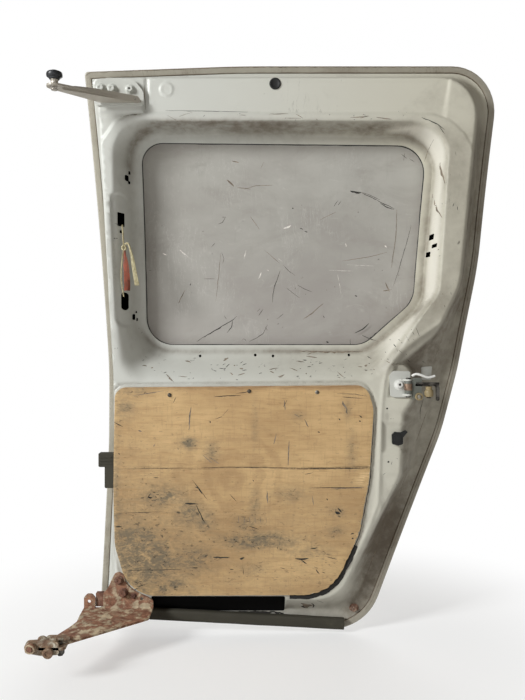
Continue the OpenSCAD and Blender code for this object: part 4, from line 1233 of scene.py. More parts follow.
def plywood_sheet():
    rng = np.random.default_rng(11)
    outline = soft_outline(ply_corners, 0, 4)
    ragged = rough([(x / 16, z / 9, 0.4) for x, z in outline], 0.8, 2.1, 4)
    centre = outline.mean(0)
    outward = (outline - centre) / np.linalg.norm(outline - centre, axis=1)[:, None]
    low_right = smooth((outline[:, 0] - 300) / 200) * smooth((420 - outline[:, 1]) / 200)
    outline = outline - outward * (np.abs(ragged) * (0.7 + 2.6 * low_right))[:, None]
    inner = grid(20, 600, 80, 535, 7)
    inner = inner + rng.uniform(-0.6, 0.6, inner.shape)
    xs = np.linspace(30, 575, 110)
    for z in (354, 352.2, 177):
        for by in (-2, 0, 2):
            inner = np.vstack([inner, np.stack([xs, np.full(110, z) + by], 1)])
    inner = thinned(inner[signed_distance(inner, outline) > 2.5], 1.5)
    flat, triangles = filled(inner, outline)
    x, z = flat[:, 0], flat[:, 1]
    depth = ply_y(flat)
    crack = 354 + 1.5 * np.sin(x / 40) + rough([(a / 30, 0.3, 2.2) for a in x], 1, 2, 3)
    split = bell(z - crack, 1.2) * smooth((x - 60) / 40)
    depth = depth + 0.7 * split + 0.25 * rough([(a / 90, b / 5, 0) for a, b in flat], 1, 2, 2)
    border = signed_distance(flat, outline)
    depth = depth + 0.8 * bell(border, 1.6)
    torn_area = box_mask(flat, 520, 590, 320, 372, 14) * smooth((x - 520) / 40)
    layers = rough([(a / 60, b / 2.2, 5) for a, b in flat], 1, 2, 3)
    depth = depth + torn_area * np.clip(layers * 2.2, 0, 2.2)
    torn = np.clip(torn_area * (layers > 0.05) + 0.3 * bell(border, 1.5), 0, 1)
    hollow = np.clip(0.9 * split * smooth((x - 350) / 120) + 0.45 * split, 0, 1)
    smudge = np.zeros(len(flat))
    for cx, cz, rx, rz, share in PLY_SMUDGES:
        smudge = np.maximum(smudge, share * np.exp(-((x - cx) / rx) ** 2 - ((z - cz) / rz) ** 2))
    points = np.vstack([lay(flat, depth), lay(flat, -FRAME_DEPTH - 0.05)])
    values = {"torn": torn, "hollow": hollow, "smudge": smudge}
    values = {name: padded(share, len(points)) for name, share in values.items()}
    obj = new_object("plywood_sheet", points, slab(triangles, len(flat)), values)
    return finish_piece(obj, "plywood", "plywood_panel")


pressed_panel()
door_skin()
blank_panel()
blank_bead()
plywood_sheet()


def torn_butyl():
    """Sealing tape torn along the plywood's lower right edge."""
    loop = soft_outline(ply_corners, -5, 4)
    start = int(np.argmax(loop[:, 0] + 0.2 * loop[:, 1]))
    loop = np.roll(loop, -start, 0)
    line = loop[(loop[:, 0] > 396) & (loop[:, 1] < 190)]
    side = sideways(np.gradient(line, axis=0))
    places = range(len(line))
    rings = []
    for k, (share, lift) in enumerate(((-1.0, 0.0), (-0.8, 1.2), (-0.25, 1.9), (0.3, 1.3),
            (0.75, 1.7), (1.0, 0.0))):
        torn = rough([(i * 0.35, k * 1.9, 0.5) for i in places], 0.9, 2.2, 4)
        half = 5.0 + 3.4 * rough([(i * 0.11, 3.3, k * 0.2) for i in places], 1.0, 2.0, 3)
        flat = line + side * (half * share + torn * 1.6)[:, None]
        y = panel_y(flat) - lift * (1 + 0.7 * torn) - 0.1
        rings.append(lay(flat, y))
    points, faces = loft(rings, closed=False)
    obj = new_object("torn_butyl", points, faces, None, 50)
    return finish_piece(obj, "butyl")


def scattered_dashes(seed, count, x0, x1, z0, z1, width, length, lean=0.0):
    """Short scuffs thrown at random over an area, most of them level."""
    rng = np.random.default_rng(seed)
    strokes = []
    for _ in range(count):
        x, z = rng.uniform(x0, x1), z0 + (z1 - z0) * rng.beta(1.4, 1.8)
        long = rng.uniform(0.25, 1.0) ** 2 * length
        angle = lean + rng.normal(0, 0.35)
        dx, dz = long * math.cos(angle), long * math.sin(angle)
        thick = width * rng.uniform(0.5, 1.3)
        middle = (x + dx / 2, z + dz / 2 + rng.normal(0, 0.4))
        strokes.append((thick, [(x, z), middle, (x + dx, z + dz)]))
    return strokes


# Areas of scuffs: seed, count, range in X, range in Z, width, length, lean
DARK_DASHES = [
    (3, 46, 80, 590, 541, 590, 1.1, 8), (4, 14, 215, 300, 556, 578, 1.5, 11),
    (9, 12, 410, 470, 566, 588, 1.4, 9), (8, 16, 560, 700, 575, 640, 1.3, 12, -0.9),
    (12, 18, 150, 700, 1076, 1098, 0.9, 5, 1.2), (21, 14, 700, 760, 650, 1050, 1.0, 10, 1.4),
    (31, 12, 592, 640, 180, 480, 0.9, 9, 1.3),
]
BROWN_DASHES = [(5, 30, 80, 600, 540, 600, 2.2, 26), (6, 14, 20, 640, 1080, 1092, 1.2, 40)]


def surface_marks():
    marks("blank_scratches", BLANK_DARK, blank_y, "black_marks_and_shadows")
    marks("blank_scuffs", BLANK_BROWN, blank_y, "brown_marks")
    marks("blank_rubs", BLANK_PALE, blank_y, "pale_marks")
    marks("plywood_gouges", PLY_DARK, ply_y, "black_marks_and_shadows")
    marks("plywood_stains", PLY_BROWN, ply_y, "brown_marks")
    seam = soft_outline(ply_corners, -2.5, 16)
    seam = seam[(seam[:, 0] > 480) & (seam[:, 1] > 120)]
    seam = seam[np.argsort(seam[:, 1])]
    dark = [stroke for area in DARK_DASHES for stroke in scattered_dashes(*area)]
    # The 1.5 mm stroke along the plywood's right edge is a painted shadow line; PANEL_DARK holds
    # one stroke of painted shade too.
    dark += PANEL_DARK + [(1.5, seam[seam[:, 1] < 480])]
    marks("panel_chips_and_shadow_lines", dark, panel_y, "black_marks_and_shadows")
    brown = [stroke for area in BROWN_DASHES for stroke in scattered_dashes(*area)]
    marks("panel_scuffs", brown + PANEL_BROWN, panel_y, "brown_marks")
    top, side = soft_outline(skin_corners, 2.0, 14), soft_outline(skin_corners, 8.5, 14)
    top = top[top[:, 1] > 1176]
    side = side[(side[:, 0] > 420) & (side[:, 1] > 40) & (side[:, 1] < 1110)]
    lines = [(1.8, top[np.argsort(top[:, 0])]), (1.1, side[np.argsort(side[:, 1])])]
    marks("hem_lines", lines, lambda at: skin_y(at[:, 1]) - HEM_IN - 0.25, "brown_marks")


PANEL_DARK = [
    (1.0, [(139, 1098), (210, 1097), (310, 1095)]), (1.2, [(30, 868), (42, 866)]),
    (1.6, [(22, 836), (34, 838), (40, 836)]), (1.2, [(688, 497), (682, 474), (684, 452)]),
    (1.4, [(560, 636), (575, 628), (590, 624)]), (2.2, [(543, 640), (560, 648), (575, 662)]),
    (1.0, [(652, 652), (660, 634)]), (1.0, [(664, 650), (672, 628)]),
    (0.8, [(640, 640), (650, 620)]), (1.2, [(702, 1068), (716, 1050)]),
    (1.6, [(668, 1083), (700, 1070), (716, 1058)]), (1.4, [(455, 70), (470, 62)]),
    # The first stroke on the next line, under the bottom opening, is painted shade.
    (7.0, [(236, 34), (300, 33.5), (386, 33)]), (5.0, [(424, 49), (438, 45)]),
    (3.0, [(444, 60), (452, 52), (450, 44)]),
]
PANEL_BROWN = [
    (3.0, [(420, 601), (500, 598), (560, 600)]), (1.2, [(96, 1150), (98, 1100)]),
    (9.0, [(422, 58), (434, 52), (448, 50)]), (1.3, [(615, 236), (582, 150), (546, 62)]),
    (1.6, [(706, 960), (712, 900), (716, 880)]), (1.4, [(716, 1000), (720, 950)]),
    (1.0, [(690, 1010), (700, 1046)]), (1.2, [(702, 470), (690, 440), (676, 404)]),
    (1.0, [(724, 610), (716, 590)]), (1.2, [(650, 330), (642, 280)]),
]
torn_butyl()
surface_marks()


# Hardware, gathered in closed parts
X_AXIS, Y_AXIS, Z_AXIS = np.eye(3)


class Shape:
    def __init__(self):
        self.points = []
        self.faces = []
        self.total = 0

    def add(self, points, faces):
        self.points.append(np.asarray(points, float))
        self.faces += [tuple(int(i) + self.total for i in f) for f in faces]
        self.total += len(points)
        return self

    def plate(self, outline, at, u, v, thick, holes=()):
        """Flat plate: outline in (u, v) from the point at, thickened along u x v."""
        u, v = unit(np.asarray(u, float)), unit(np.asarray(v, float))
        normal = np.cross(u, v)
        outline = np.asarray(outline, float)
        flat, triangles = filled([], outline, holes)
        low = np.asarray(at, float) + flat[:, :1] * u + flat[:, 1:] * v
        return self.add(np.vstack([low, low + normal * thick]), slab(triangles, len(flat)))

    def capped(self, rings):
        """Closed rings joined one to the next, with both ends closed."""
        points, faces = loft(rings)
        last = len(points) - len(rings[0])
        return self.add(points, faces + [tuple(range(len(rings[0])))[::-1],
            tuple(range(last, len(points)))])

    def lathe(self, profile, at, axis, count=40):
        axis = unit(np.asarray(axis, float))
        side = unit(np.cross(axis, (0.31, 0.17, 0.94) if abs(axis[2]) < 0.9 else (1, 0, 0)))
        other = np.cross(axis, side)
        angles = np.linspace(0, 2 * math.pi, count, endpoint=False)
        circle = np.cos(angles)[:, None] * side + np.sin(angles)[:, None] * other
        return self.capped([np.asarray(at, float) + axis * h + circle * max(r, 0.02)
            for r, h in profile])

    def block(self, low, high):
        (x0, y0, z0), (x1, y1, z1) = low, high
        outline = [(x0, z0), (x0, z1), (x1, z1), (x1, z0)]
        return self.plate(outline, (0, y0, 0), X_AXIS, Z_AXIS, -(y1 - y0))

    def tube(self, route, radius, count=12, flat=1.0):
        route = np.asarray(route, float)
        radius = np.broadcast_to(radius, len(route))
        ahead = np.gradient(route, axis=0)
        rings = []
        angles = np.linspace(0, 2 * math.pi, count, endpoint=False)
        for place, along, r in zip(route, ahead, radius):
            along = unit(along)
            across = unit(np.cross(Y_AXIS if abs(along[1]) < 0.9 else X_AXIS, along))
            up = np.cross(along, across)
            ring = np.cos(angles)[:, None] * across + flat * np.sin(angles)[:, None] * up
            rings.append(place + r * ring)
        return self.capped(rings)

    def bolt(self, at, axis, flange=20.0, across=15.0, flange_h=3.0, head_h=5.0):
        rim = flange / 2
        self.lathe([(rim - 0.4, 0), (rim, 0.5), (rim - 0.2, 1.3), (across / 2 + 0.4, flange_h),
            (across / 2 - 2, flange_h + 0.3)], at, axis)
        top = flange_h + head_h
        r = across / 2
        self.lathe(
            [(r, flange_h - 0.8), (r, top - 0.9), (r * 0.9, top), (r * 0.42, top),
                (r * 0.34, top - 0.9)],
            at, axis, 6)
        return self

    def piece(self, name, material, node=None, bevel=0.0, segments=2, sharp=38,
            body="door"):
        obj = new_object(name, np.concatenate(self.points), self.faces, None, sharp)
        if bevel:
            tool = obj.modifiers.new("edges", "BEVEL")
            tool.width = bevel / 1000
            tool.segments = segments
            tool.limit_method = "ANGLE"
            tool.angle_limit = math.radians(32)
            tool.harden_normals = True
        return finish_piece(obj, material, node, body)


def along_route(route, count):
    """Evenly spaced points on a smooth curve through the route."""
    route = np.asarray(route, float)
    padded_route = np.vstack([2 * route[0] - route[1], route, 2 * route[-1] - route[-2]])
    fine = []
    for i in range(1, len(padded_route) - 2):
        p0, p1, p2, p3 = padded_route[i - 1:i + 3]
        for t in np.linspace(0, 1, 12, endpoint=False):
            fine.append(0.5 * (2 * p1 + (p2 - p0) * t + (2 * p0 - 5 * p1 + 4 * p2 - p3) * t * t
                               + (3 * p1 - p0 - 3 * p2 + p3) * t ** 3))
    fine.append(route[-1])
    fine = np.array(fine)
    run = run_lengths(fine)
    return points_at(fine, run, np.linspace(0, run[-1], count))


def hull_outline(circles, count=40):
    points = np.concatenate([round_hole(x, y, 2 * r, count) for x, y, r in circles])
    order = sorted(map(tuple, points))

    def half(sequence):
        chain = []
        for p in sequence:
            while len(chain) > 1 and ((chain[-1][0] - chain[-2][0]) * (p[1] - chain[-2][1])
                                      - (chain[-1][1] - chain[-2][1]) * (p[0] - chain[-2][0])) <= 0:
                chain.pop()
            chain.append(p)
        return chain[:-1]

    return np.array(half(order) + half(order[::-1]))


LEAN_OUT = np.array([0, -math.cos(PAD_LEAN), -math.sin(PAD_LEAN)])
LEAN_UP = np.array([0, -math.sin(PAD_LEAN), math.cos(PAD_LEAN)])
ARM_Z = TOP_Z - 89
ARM_H = 16
ROOT = np.array([88.0, float(face_y(ARM_Z)) - 6.5])
TIP = np.array([-62.0, ROOT[1] - 88])
ARM_BOLTS = ((8, TOP_Z - 64), (31, TOP_Z - 65), (68, TOP_Z - 66))
PIVOT = (-45, -265)
GUIDE_XS = (-61, -30)
GUIDE_Y = -288
GUIDE_FOOT_Z = 46.5
WHEEL_X, WHEEL_Z = -78, 66
HINGE = (645, -94)
HINGE_GUIDE = (688, -94)
HINGE_BOLT_X, HINGE_BOLT_Z = 629, 530
HINGE_WHEEL_X, HINGE_WHEEL_Z = 666, 506
PLY_SCREWS = ((144, 508), (312, 516), (455, 514))


def upper_arm():
    low = ARM_Z - ARM_H / 2
    pad = Shape()
    pad_z = TOP_Z - 110
    outline = rounded([(-4, 66, 12), (74, 66, 22), (96, 40, 22), (96, 12, 4), (-4, 12, 3)], 8)
    holes = [round_hole(x, (z - pad_z) / math.cos(PAD_LEAN), 9, 16) for x, z in ARM_BOLTS]
    pad.plate(outline, (0, float(face_y(pad_z)), pad_z), X_AXIS, LEAN_UP, 4, holes)
    pad.piece("arm_pad", "frame_paint", bevel=1.2, segments=3)

    arm = Shape()
    base = hull_outline([(ROOT[0] - 2, ROOT[1], 5), (10, ROOT[1] - 3, 6), (TIP[0], TIP[1], 15)])
    arm.plate(base[::-1], (0, 0, low + 4), X_AXIS, Y_AXIS, 4, [round_hole(TIP[0], TIP[1], 11)])
    start = TIP + np.array([14, 6])
    run = np.append(ROOT - start + np.array([0, -2]), 0)
    length = float(np.linalg.norm(run))
    web = rounded([(0, 0, 1), (0, 3.5, 1), (24, 11, 14), (60, 13.5, 30), (length - 2, 13.5, 7),
        (length + 2, 0, 6)], 6)
    arm.plate(web, (start[0], start[1] - 2, low), run, Z_AXIS, 3.5,
        [round_hole(length - 10, 7, 4.5, 14)])
    arm.piece("arm_bar", "arm_steel", "upper_arm", bevel=1.3, segments=3)

    bolts = Shape()
    for x, z in ARM_BOLTS:
        at = np.array([x, float(face_y(z)) - 4, z])
        bolts.lathe([(10.6, 0), (10.9, 0.5), (10.6, 1), (8, 1.1)], at, LEAN_OUT)
        bolts.bolt(at + LEAN_OUT * 0.9, LEAN_OUT, 19, 14.5, 2.6, 4.6)
    bolts.piece("arm_bolts", "painted_bolts", "upper_arm_bolts", bevel=0.35)
    # Black discs in the bolt heads' recesses: painted shade.
    dark = Shape()
    dark.lathe([(2.4, 7.0), (2.2, 7.35), (0.5, 7.4)], at, LEAN_OUT, 20)
    dark.piece("arm_bolt_hole_shade", "black_marks_and_shadows")

    pin = Shape()
    at = (TIP[0], TIP[1], low)
    pin.lathe([(9.5, 3.9), (9.8, 4.6), (9, 5.6), (7.6, 6.4), (7, 8), (6.9, 13), (7.2, 15.5),
        (8, 17), (8, 17.9), (4, 18)], at, Z_AXIS, 48)
    pin.lathe([(5.4, -2.2), (6.6, -1.6), (6.8, -0.2), (6, 0.2)], at, Z_AXIS, 40)
    pin.piece("roller_stem", "stem_steel", "upper_roller_pin", sharp=50)
    cap = Shape()
    cap.lathe([(5.4, 33.2), (8.2, 33.7), (8.4, 34.6), (7.4, 35.4), (3, 35.8)], at, Z_AXIS, 40)
    cap.piece("roller_cap", "greasy_steel", sharp=50)
    roller = Shape()
    foot = low + 18.5
    tread = [
        (6.2, 0), (9.2, 0), (9.9, 0.7), (10.2, 2), (11.4, 3.6), (13.8, 4.7), (15.1, 6), (15.5, 8),
        (15.5, 10), (15.2, 12), (14.2, 13.6), (12.8, 14.5), (11, 14.9), (9.4, 14.6), (8.8, 13.8),
        (6.2, 13.7),
    ]
    roller.lathe(tread, (TIP[0], TIP[1], foot), Z_AXIS, 64)
    roller.piece("top_roller_tread", "roller_nylon", "upper_roller", sharp=60, body="top_roller")


def lower_arm():
    shape = Shape()
    plate = rounded([
        (-37, -76, 3), (109, -76, 3), (109, -141, 8), (98, -152, 8), (-26, -269, 6),
        (-44, -279, 10), (-57, -276, 8), (-62, -262, 10), (-48, -217, 30), (-39, -190, 20),
        (-32, -160, 12), (-35, -125, 10),
    ], 6)
    holes = [round_hole(39, -166, 8.5, 24), round_hole(*PIVOT, 9, 20)]
    shape.plate(plate, (0, 0, 55), X_AXIS, Y_AXIS, 4, holes)
    flange = rounded([
        (4, 55, 1), (4, 90, 8), (13, 99, 8), (22, 119, 10), (28, 131, 7), (38, 134, 9),
        (47, 128, 7), (51, 112, 10), (58, 103, 12), (76, 91, 14), (98, 81, 14), (109, 74, 6),
        (109, 55, 1),
    ], 6)
    shape.plate(flange, (0, -75, 0), X_AXIS, Z_AXIS, 4.2, [round_hole(85, 78, 7, 18)])
    lug = rounded([(-37, 55, 1), (-37, 81, 7), (-30, 88, 7), (-20, 88, 7), (-13, 80, 7),
        (-13, 55, 1)], 6)
    shape.plate(lug, (0, -75, 0), X_AXIS, Z_AXIS, 4.2, [round_hole(-26, 72, 7.4, 20)])
    shape.piece("sill_arm", "rusty_steel", "lower_arm", bevel=1.1, segments=3)
    fold = Shape()
    bend = [(-78.6, 64.5), (-79.2, 61.5), (-80.8, 59.6), (-84, 58.6), (-84, 57), (-77, 57),
        (-77, 64.5)]
    for x0, x1 in ((4, 109), (-37, -13)):
        rings = [np.array([(x, y, z) for y, z in bend])
            for x in np.linspace(x0 + 0.5, x1 - 0.5, 12)]
        fold.capped(rings)
    fold.piece("sill_arm_fold", "rusty_steel", sharp=60)

    bolts = Shape()
    bolts.bolt((37, -79.1, 117), -Y_AXIS, 19, 14, 3, 5)
    bolts.bolt((46, -79.1, 91), -Y_AXIS, 21, 16, 3.4, 6)
    bolts.bolt((68, -79.1, 84), -Y_AXIS, 12, 9, 1.5, 2.5)
    bolts.piece("sill_arm_bolts", "rusty_dark", "lower_arm_bolts", bevel=0.3)

    # A dark block fills the gap between the lug and the flange, where shade falls: painted shade.
    shadow = Shape()
    shadow.block((-13, -75.2, 60), (4, -60, 88))
    shadow.piece("sill_arm_shadow_block", "rusty_dark", bevel=0.8)

    pin = Shape()
    pin.lathe([(4, 0), (4, 10.5), (8, 10.6), (8.6, 11.4), (8.4, 13), (6.5, 14.2), (2, 14.6)],
        (*PIVOT, 55), Z_AXIS, 32)
    pin.lathe([(5, -2.5), (7, -2), (7, -0.4), (5, 0)], (*PIVOT, 55), Z_AXIS, 24)
    pin.piece("truck_pivot", "worn_cast_steel", "lower_pivot_pin", sharp=40)


def lower_truck():
    truck = Shape()
    deck = rounded([
        (-64, -245, 7), (-31, -243, 7), (-20, -257, 8), (-17, -306, 6), (-72, -306, 6),
        (-69, -271, 10),
    ], 6)
    truck.plate(deck, (0, 0, 60.2), X_AXIS, Y_AXIS, 4.8, [round_hole(*PIVOT, 9, 20)])
    face = rounded([(-89, 55, 4), (-91, 66, 7), (-86, 77, 7), (-70, 78, 5), (-52, 80, 6),
        (-29, 74, 6), (-28, 52, 5), (-60, 50, 6)], 6)
    truck.plate(face, (0, -301, 0), X_AXIS, Z_AXIS, 5, [round_hole(WHEEL_X, WHEEL_Z, 7, 16)])
    truck.lathe([(9.6, 0), (9.6, 6), (8.6, 7), (5, 7.2), (4.6, 6), (2, 5.6)], (-47, -305, 56),
        -Y_AXIS, 28)
    truck.lathe([(8, -3), (8, 5), (6.6, 6.4), (3, 7)], (-62, -292, 72), (0.1, -0.5, 1), 24)
    truck.lathe([(7, -4), (7.6, 3), (6.2, 5), (2, 5.6)], (-40, -298, 74), (0, -0.5, 1), 24)
    truck.lathe([(5.5, -4.5), (6, 5), (5, 6.4), (1, 6.8)], (-33, -280, 67), (0.3, -0.2, 1), 20)
    truck.tube(along_route([(-66, -268, 66), (-60, -280, 70), (-52, -296, 72), (-44, -303, 70)],
        14), 3.8, 10)
    truck.piece("truck_casting", "worn_cast_steel", "lower_carriage", bevel=1.3, segments=3,
        body="lower_truck")

    r = 7.5
    guide = [
        (2.9, 0), (r - 1.4, 0), (r - 0.3, 1.2), (r, 3), (r, 9.5), (r - 0.4, 11.6), (r - 1.6, 13),
        (2.9, 13),
    ]
    for name, material, x in zip(("front", "rear"), ("rusty_steel", "greasy_steel"), GUIDE_XS):
        shape = Shape()
        shape.lathe(guide, (x, GUIDE_Y, GUIDE_FOOT_Z), Z_AXIS, 40)
        shape.piece(f"{name}_guide_roller", material, f"lower_guide_{name}", sharp=50,
            body=f"{name}_guide")
    pins = Shape()
    for x in GUIDE_XS:
        pins.lathe([(3.4, -2.6), (4.6, -2.2), (4.6, -0.6), (2.7, -0.4), (2.7, 18.7), (5.4, 18.9),
            (5.6, 20), (4.4, 21.8), (1.5, 22.2)],
                   (x, GUIDE_Y, GUIDE_FOOT_Z), Z_AXIS, 28)
    pins.piece("guide_pins", "greasy_steel", "lower_guide_pins", sharp=40, body="lower_truck")
    wheel = Shape()
    wheel.lathe([(3, 0), (8.2, 0), (9.2, 0.8), (9.5, 2.5), (9.5, 7.5), (9.1, 9.2), (8, 10),
        (6.6, 10), (6.2, 9.3), (4.6, 9.2), (4.2, 9.8), (3, 9.8)],
                (WHEEL_X, -306.6, WHEEL_Z), -Y_AXIS, 48)
    wheel.piece("truck_wheel", "rusty_steel", "lower_load_wheel", sharp=45,
        body="load_wheel")
    axle = Shape()
    axle.lathe([(2.7, -1), (2.7, 10.8), (4.9, 11), (5, 12), (4.1, 13), (1, 13.4)],
        (WHEEL_X, -306, WHEEL_Z), -Y_AXIS, 28)
    axle.lathe([(4.5, -7), (4.5, -5.2), (2.7, -5)], (WHEEL_X, -306, WHEEL_Z), -Y_AXIS, 24)
    axle.piece("truck_axle", "rusty_dark", "lower_wheel_axle", sharp=40,
        body="lower_truck")


def centre_hinge():
    bracket = Shape()
    outline = rounded([(610, 506, 4), (608, 549, 8), (616, 559, 6), (652, 558, 4), (652, 503, 3),
        (618, 503, 5)], 6)
    bracket.plate(outline, (0, -75, 0), X_AXIS, Z_AXIS, 4)
    for z in (507, 538):
        ear = hull_outline([(*HINGE, 7), (640, -78, 5), (650, -78, 3)])
        bracket.plate(ear, (0, 0, z), X_AXIS, Y_AXIS, 4, [round_hole(*HINGE, 6.4, 18)])
    bracket.piece("hinge_bracket", "frame_paint", "centre_bracket", bevel=0.9, segments=3)
    bolt = Shape()
    bolt.lathe([(11.5, 0), (11.8, 0.5), (11.4, 1.1), (8, 1.2)], (HINGE_BOLT_X, -79, HINGE_BOLT_Z),
        -Y_AXIS)
    bolt.bolt((HINGE_BOLT_X, -80, HINGE_BOLT_Z), -Y_AXIS, 18, 14.5, 2.6, 5)
    bolt.piece("hinge_bracket_bolt", "white_bolt", "centre_bracket_bolt",
        bevel=0.4)
    # Black disc in the bolt head's recess: painted shade.
    dark = Shape()
    dark.lathe([(2.7, 7.3), (2.4, 7.75), (0.4, 7.8)], (HINGE_BOLT_X, -80, HINGE_BOLT_Z), -Y_AXIS,
        20)
    dark.piece("hinge_bolt_hole_shade", "black_marks_and_shadows")
    pin = Shape()
    pin.lathe([(4.6, 504), (5.4, 504.6), (5.4, 506.4), (3, 506.9), (3, 542.1), (5.4, 542.3),
        (5.4, 544), (4.2, 545)], (*HINGE, 0), Z_AXIS, 28)
    pin.piece("hinge_pin", "greasy_steel", "centre_hinge_pin", sharp=40)

    reinforcement = Shape()
    lower = rounded([(684, 538, 3), (684, 566, 3), (709, 568, 3), (707, 538, 3)], 4)
    flat, triangles = filled(grid(686, 706, 540, 566, 5), lower)
    reinforcement.add(*add_rim(lay(flat, panel_y(flat) - 2.6), triangles, 2.4))
    reinforcement.piece("hinge_shim", "frame_paint", "hinge_reinforcement")

    link = Shape()
    link.lathe([(6.4, 512), (7.8, 512.4), (8, 514), (8, 535), (7.6, 536.8), (6, 537.2)],
        (*HINGE, 0), Z_AXIS, 36)
    arm = rounded([(648, 513, 2), (648, 536, 2), (656, 545, 4), (673, 545, 4), (673, 500, 5),
        (655, 500, 5)], 5)
    link.plate(arm, (0, -92, 0), X_AXIS, Z_AXIS, 4)
    link.piece("hinge_link", "grey_green", bevel=0.8, segments=3,
        body="centre_truck")
    frame_part = Shape()
    yoke = rounded([(659, 527.6, 2), (659, 533, 3), (676, 533, 3), (708, 535, 4), (710, 524, 4),
        (710, 498, 4), (703, 495, 3), (702, 527.6, 3)], 5)
    frame_part.plate(yoke, (0, -92, 0), X_AXIS, Z_AXIS, 4)
    shelf = rounded([(661, -102, 2), (709, -102, 4), (709, -84, 4), (661, -84, 2)], 5)
    frame_part.plate(shelf[::-1], (0, 0, 531.4), X_AXIS, Y_AXIS, 3.8)
    frame_part.piece("hinge_yoke", "greasy_steel", "centre_carriage", bevel=0.8, segments=3,
        body="centre_truck")
    bush = Shape()
    bush.lathe([(7.9, 518.5), (8.4, 519), (8.5, 525), (8.5, 531), (8.3, 532.4), (7.9, 532.8)],
        (*HINGE, 0), Z_AXIS, 36)
    bush.piece("hinge_bush", "bush_copper", sharp=45, body="centre_truck")
    lever = Shape()
    route = along_route([(652, -97, 549), (661, -101, 553), (672, -103, 550), (685, -103, 546),
        (699, -102, 549)], 22)
    lever.tube(route, 2.6, 10, 0.7)
    lever.piece("hinge_lever", "white_bolt", sharp=60, body="centre_truck")

    roller = Shape()
    tread = [
        (2.9, 505), (7.4, 505), (8.8, 506), (9.5, 508), (9.5, 515), (9.1, 518), (7.4, 519.6),
        (6.4, 520.6), (6.3, 523.5), (7.2, 524.6), (7.2, 526.4), (6.4, 527), (2.9, 527),
    ]
    roller.lathe(tread, (*HINGE_GUIDE, 0), Z_AXIS, 48)
    roller.piece("hinge_guide_tread", "aged_nylon", "centre_guide_roller", sharp=45,
        body="centre_guide")
    pin = Shape()
    pin.lathe([(3.6, 502), (4.6, 502.5), (4.6, 504.2), (2.6, 504.6), (2.6, 533), (4.6, 533.2),
        (4.4, 535), (2, 535.6)], (*HINGE_GUIDE, 0), Z_AXIS, 28)
    pin.piece("hinge_guide_pin", "greasy_steel", "centre_guide_pin", sharp=40, body="centre_truck")
    wheel = Shape()
    wheel.lathe([(2.9, 0), (6.6, 0), (7.6, 0.8), (8, 2), (8, 6.6), (7.3, 8), (5.6, 8), (5.2, 7),
        (4.4, 6.8), (2.9, 6.8)],
                (HINGE_WHEEL_X, -96.6, HINGE_WHEEL_Z), -Y_AXIS, 48)
    wheel.piece("hinge_wheel_tread", "aged_nylon", "centre_load_wheel", sharp=45,
        body="centre_wheel")
    axle = Shape()
    axle.lathe([(2.6, 0), (2.6, 8.6), (4.2, 8.8), (4.2, 10), (3.4, 10.6), (1, 10.8)],
        (HINGE_WHEEL_X, -96, HINGE_WHEEL_Z), -Y_AXIS, 24)
    axle.lathe([(4.4, -7), (4.6, -5), (2.6, -4.6)], (HINGE_WHEEL_X, -96, HINGE_WHEEL_Z), -Y_AXIS,
        24)
    axle.piece("hinge_wheel_axle", "old_zinc", "centre_wheel_axle", sharp=40,
        body="centre_truck")


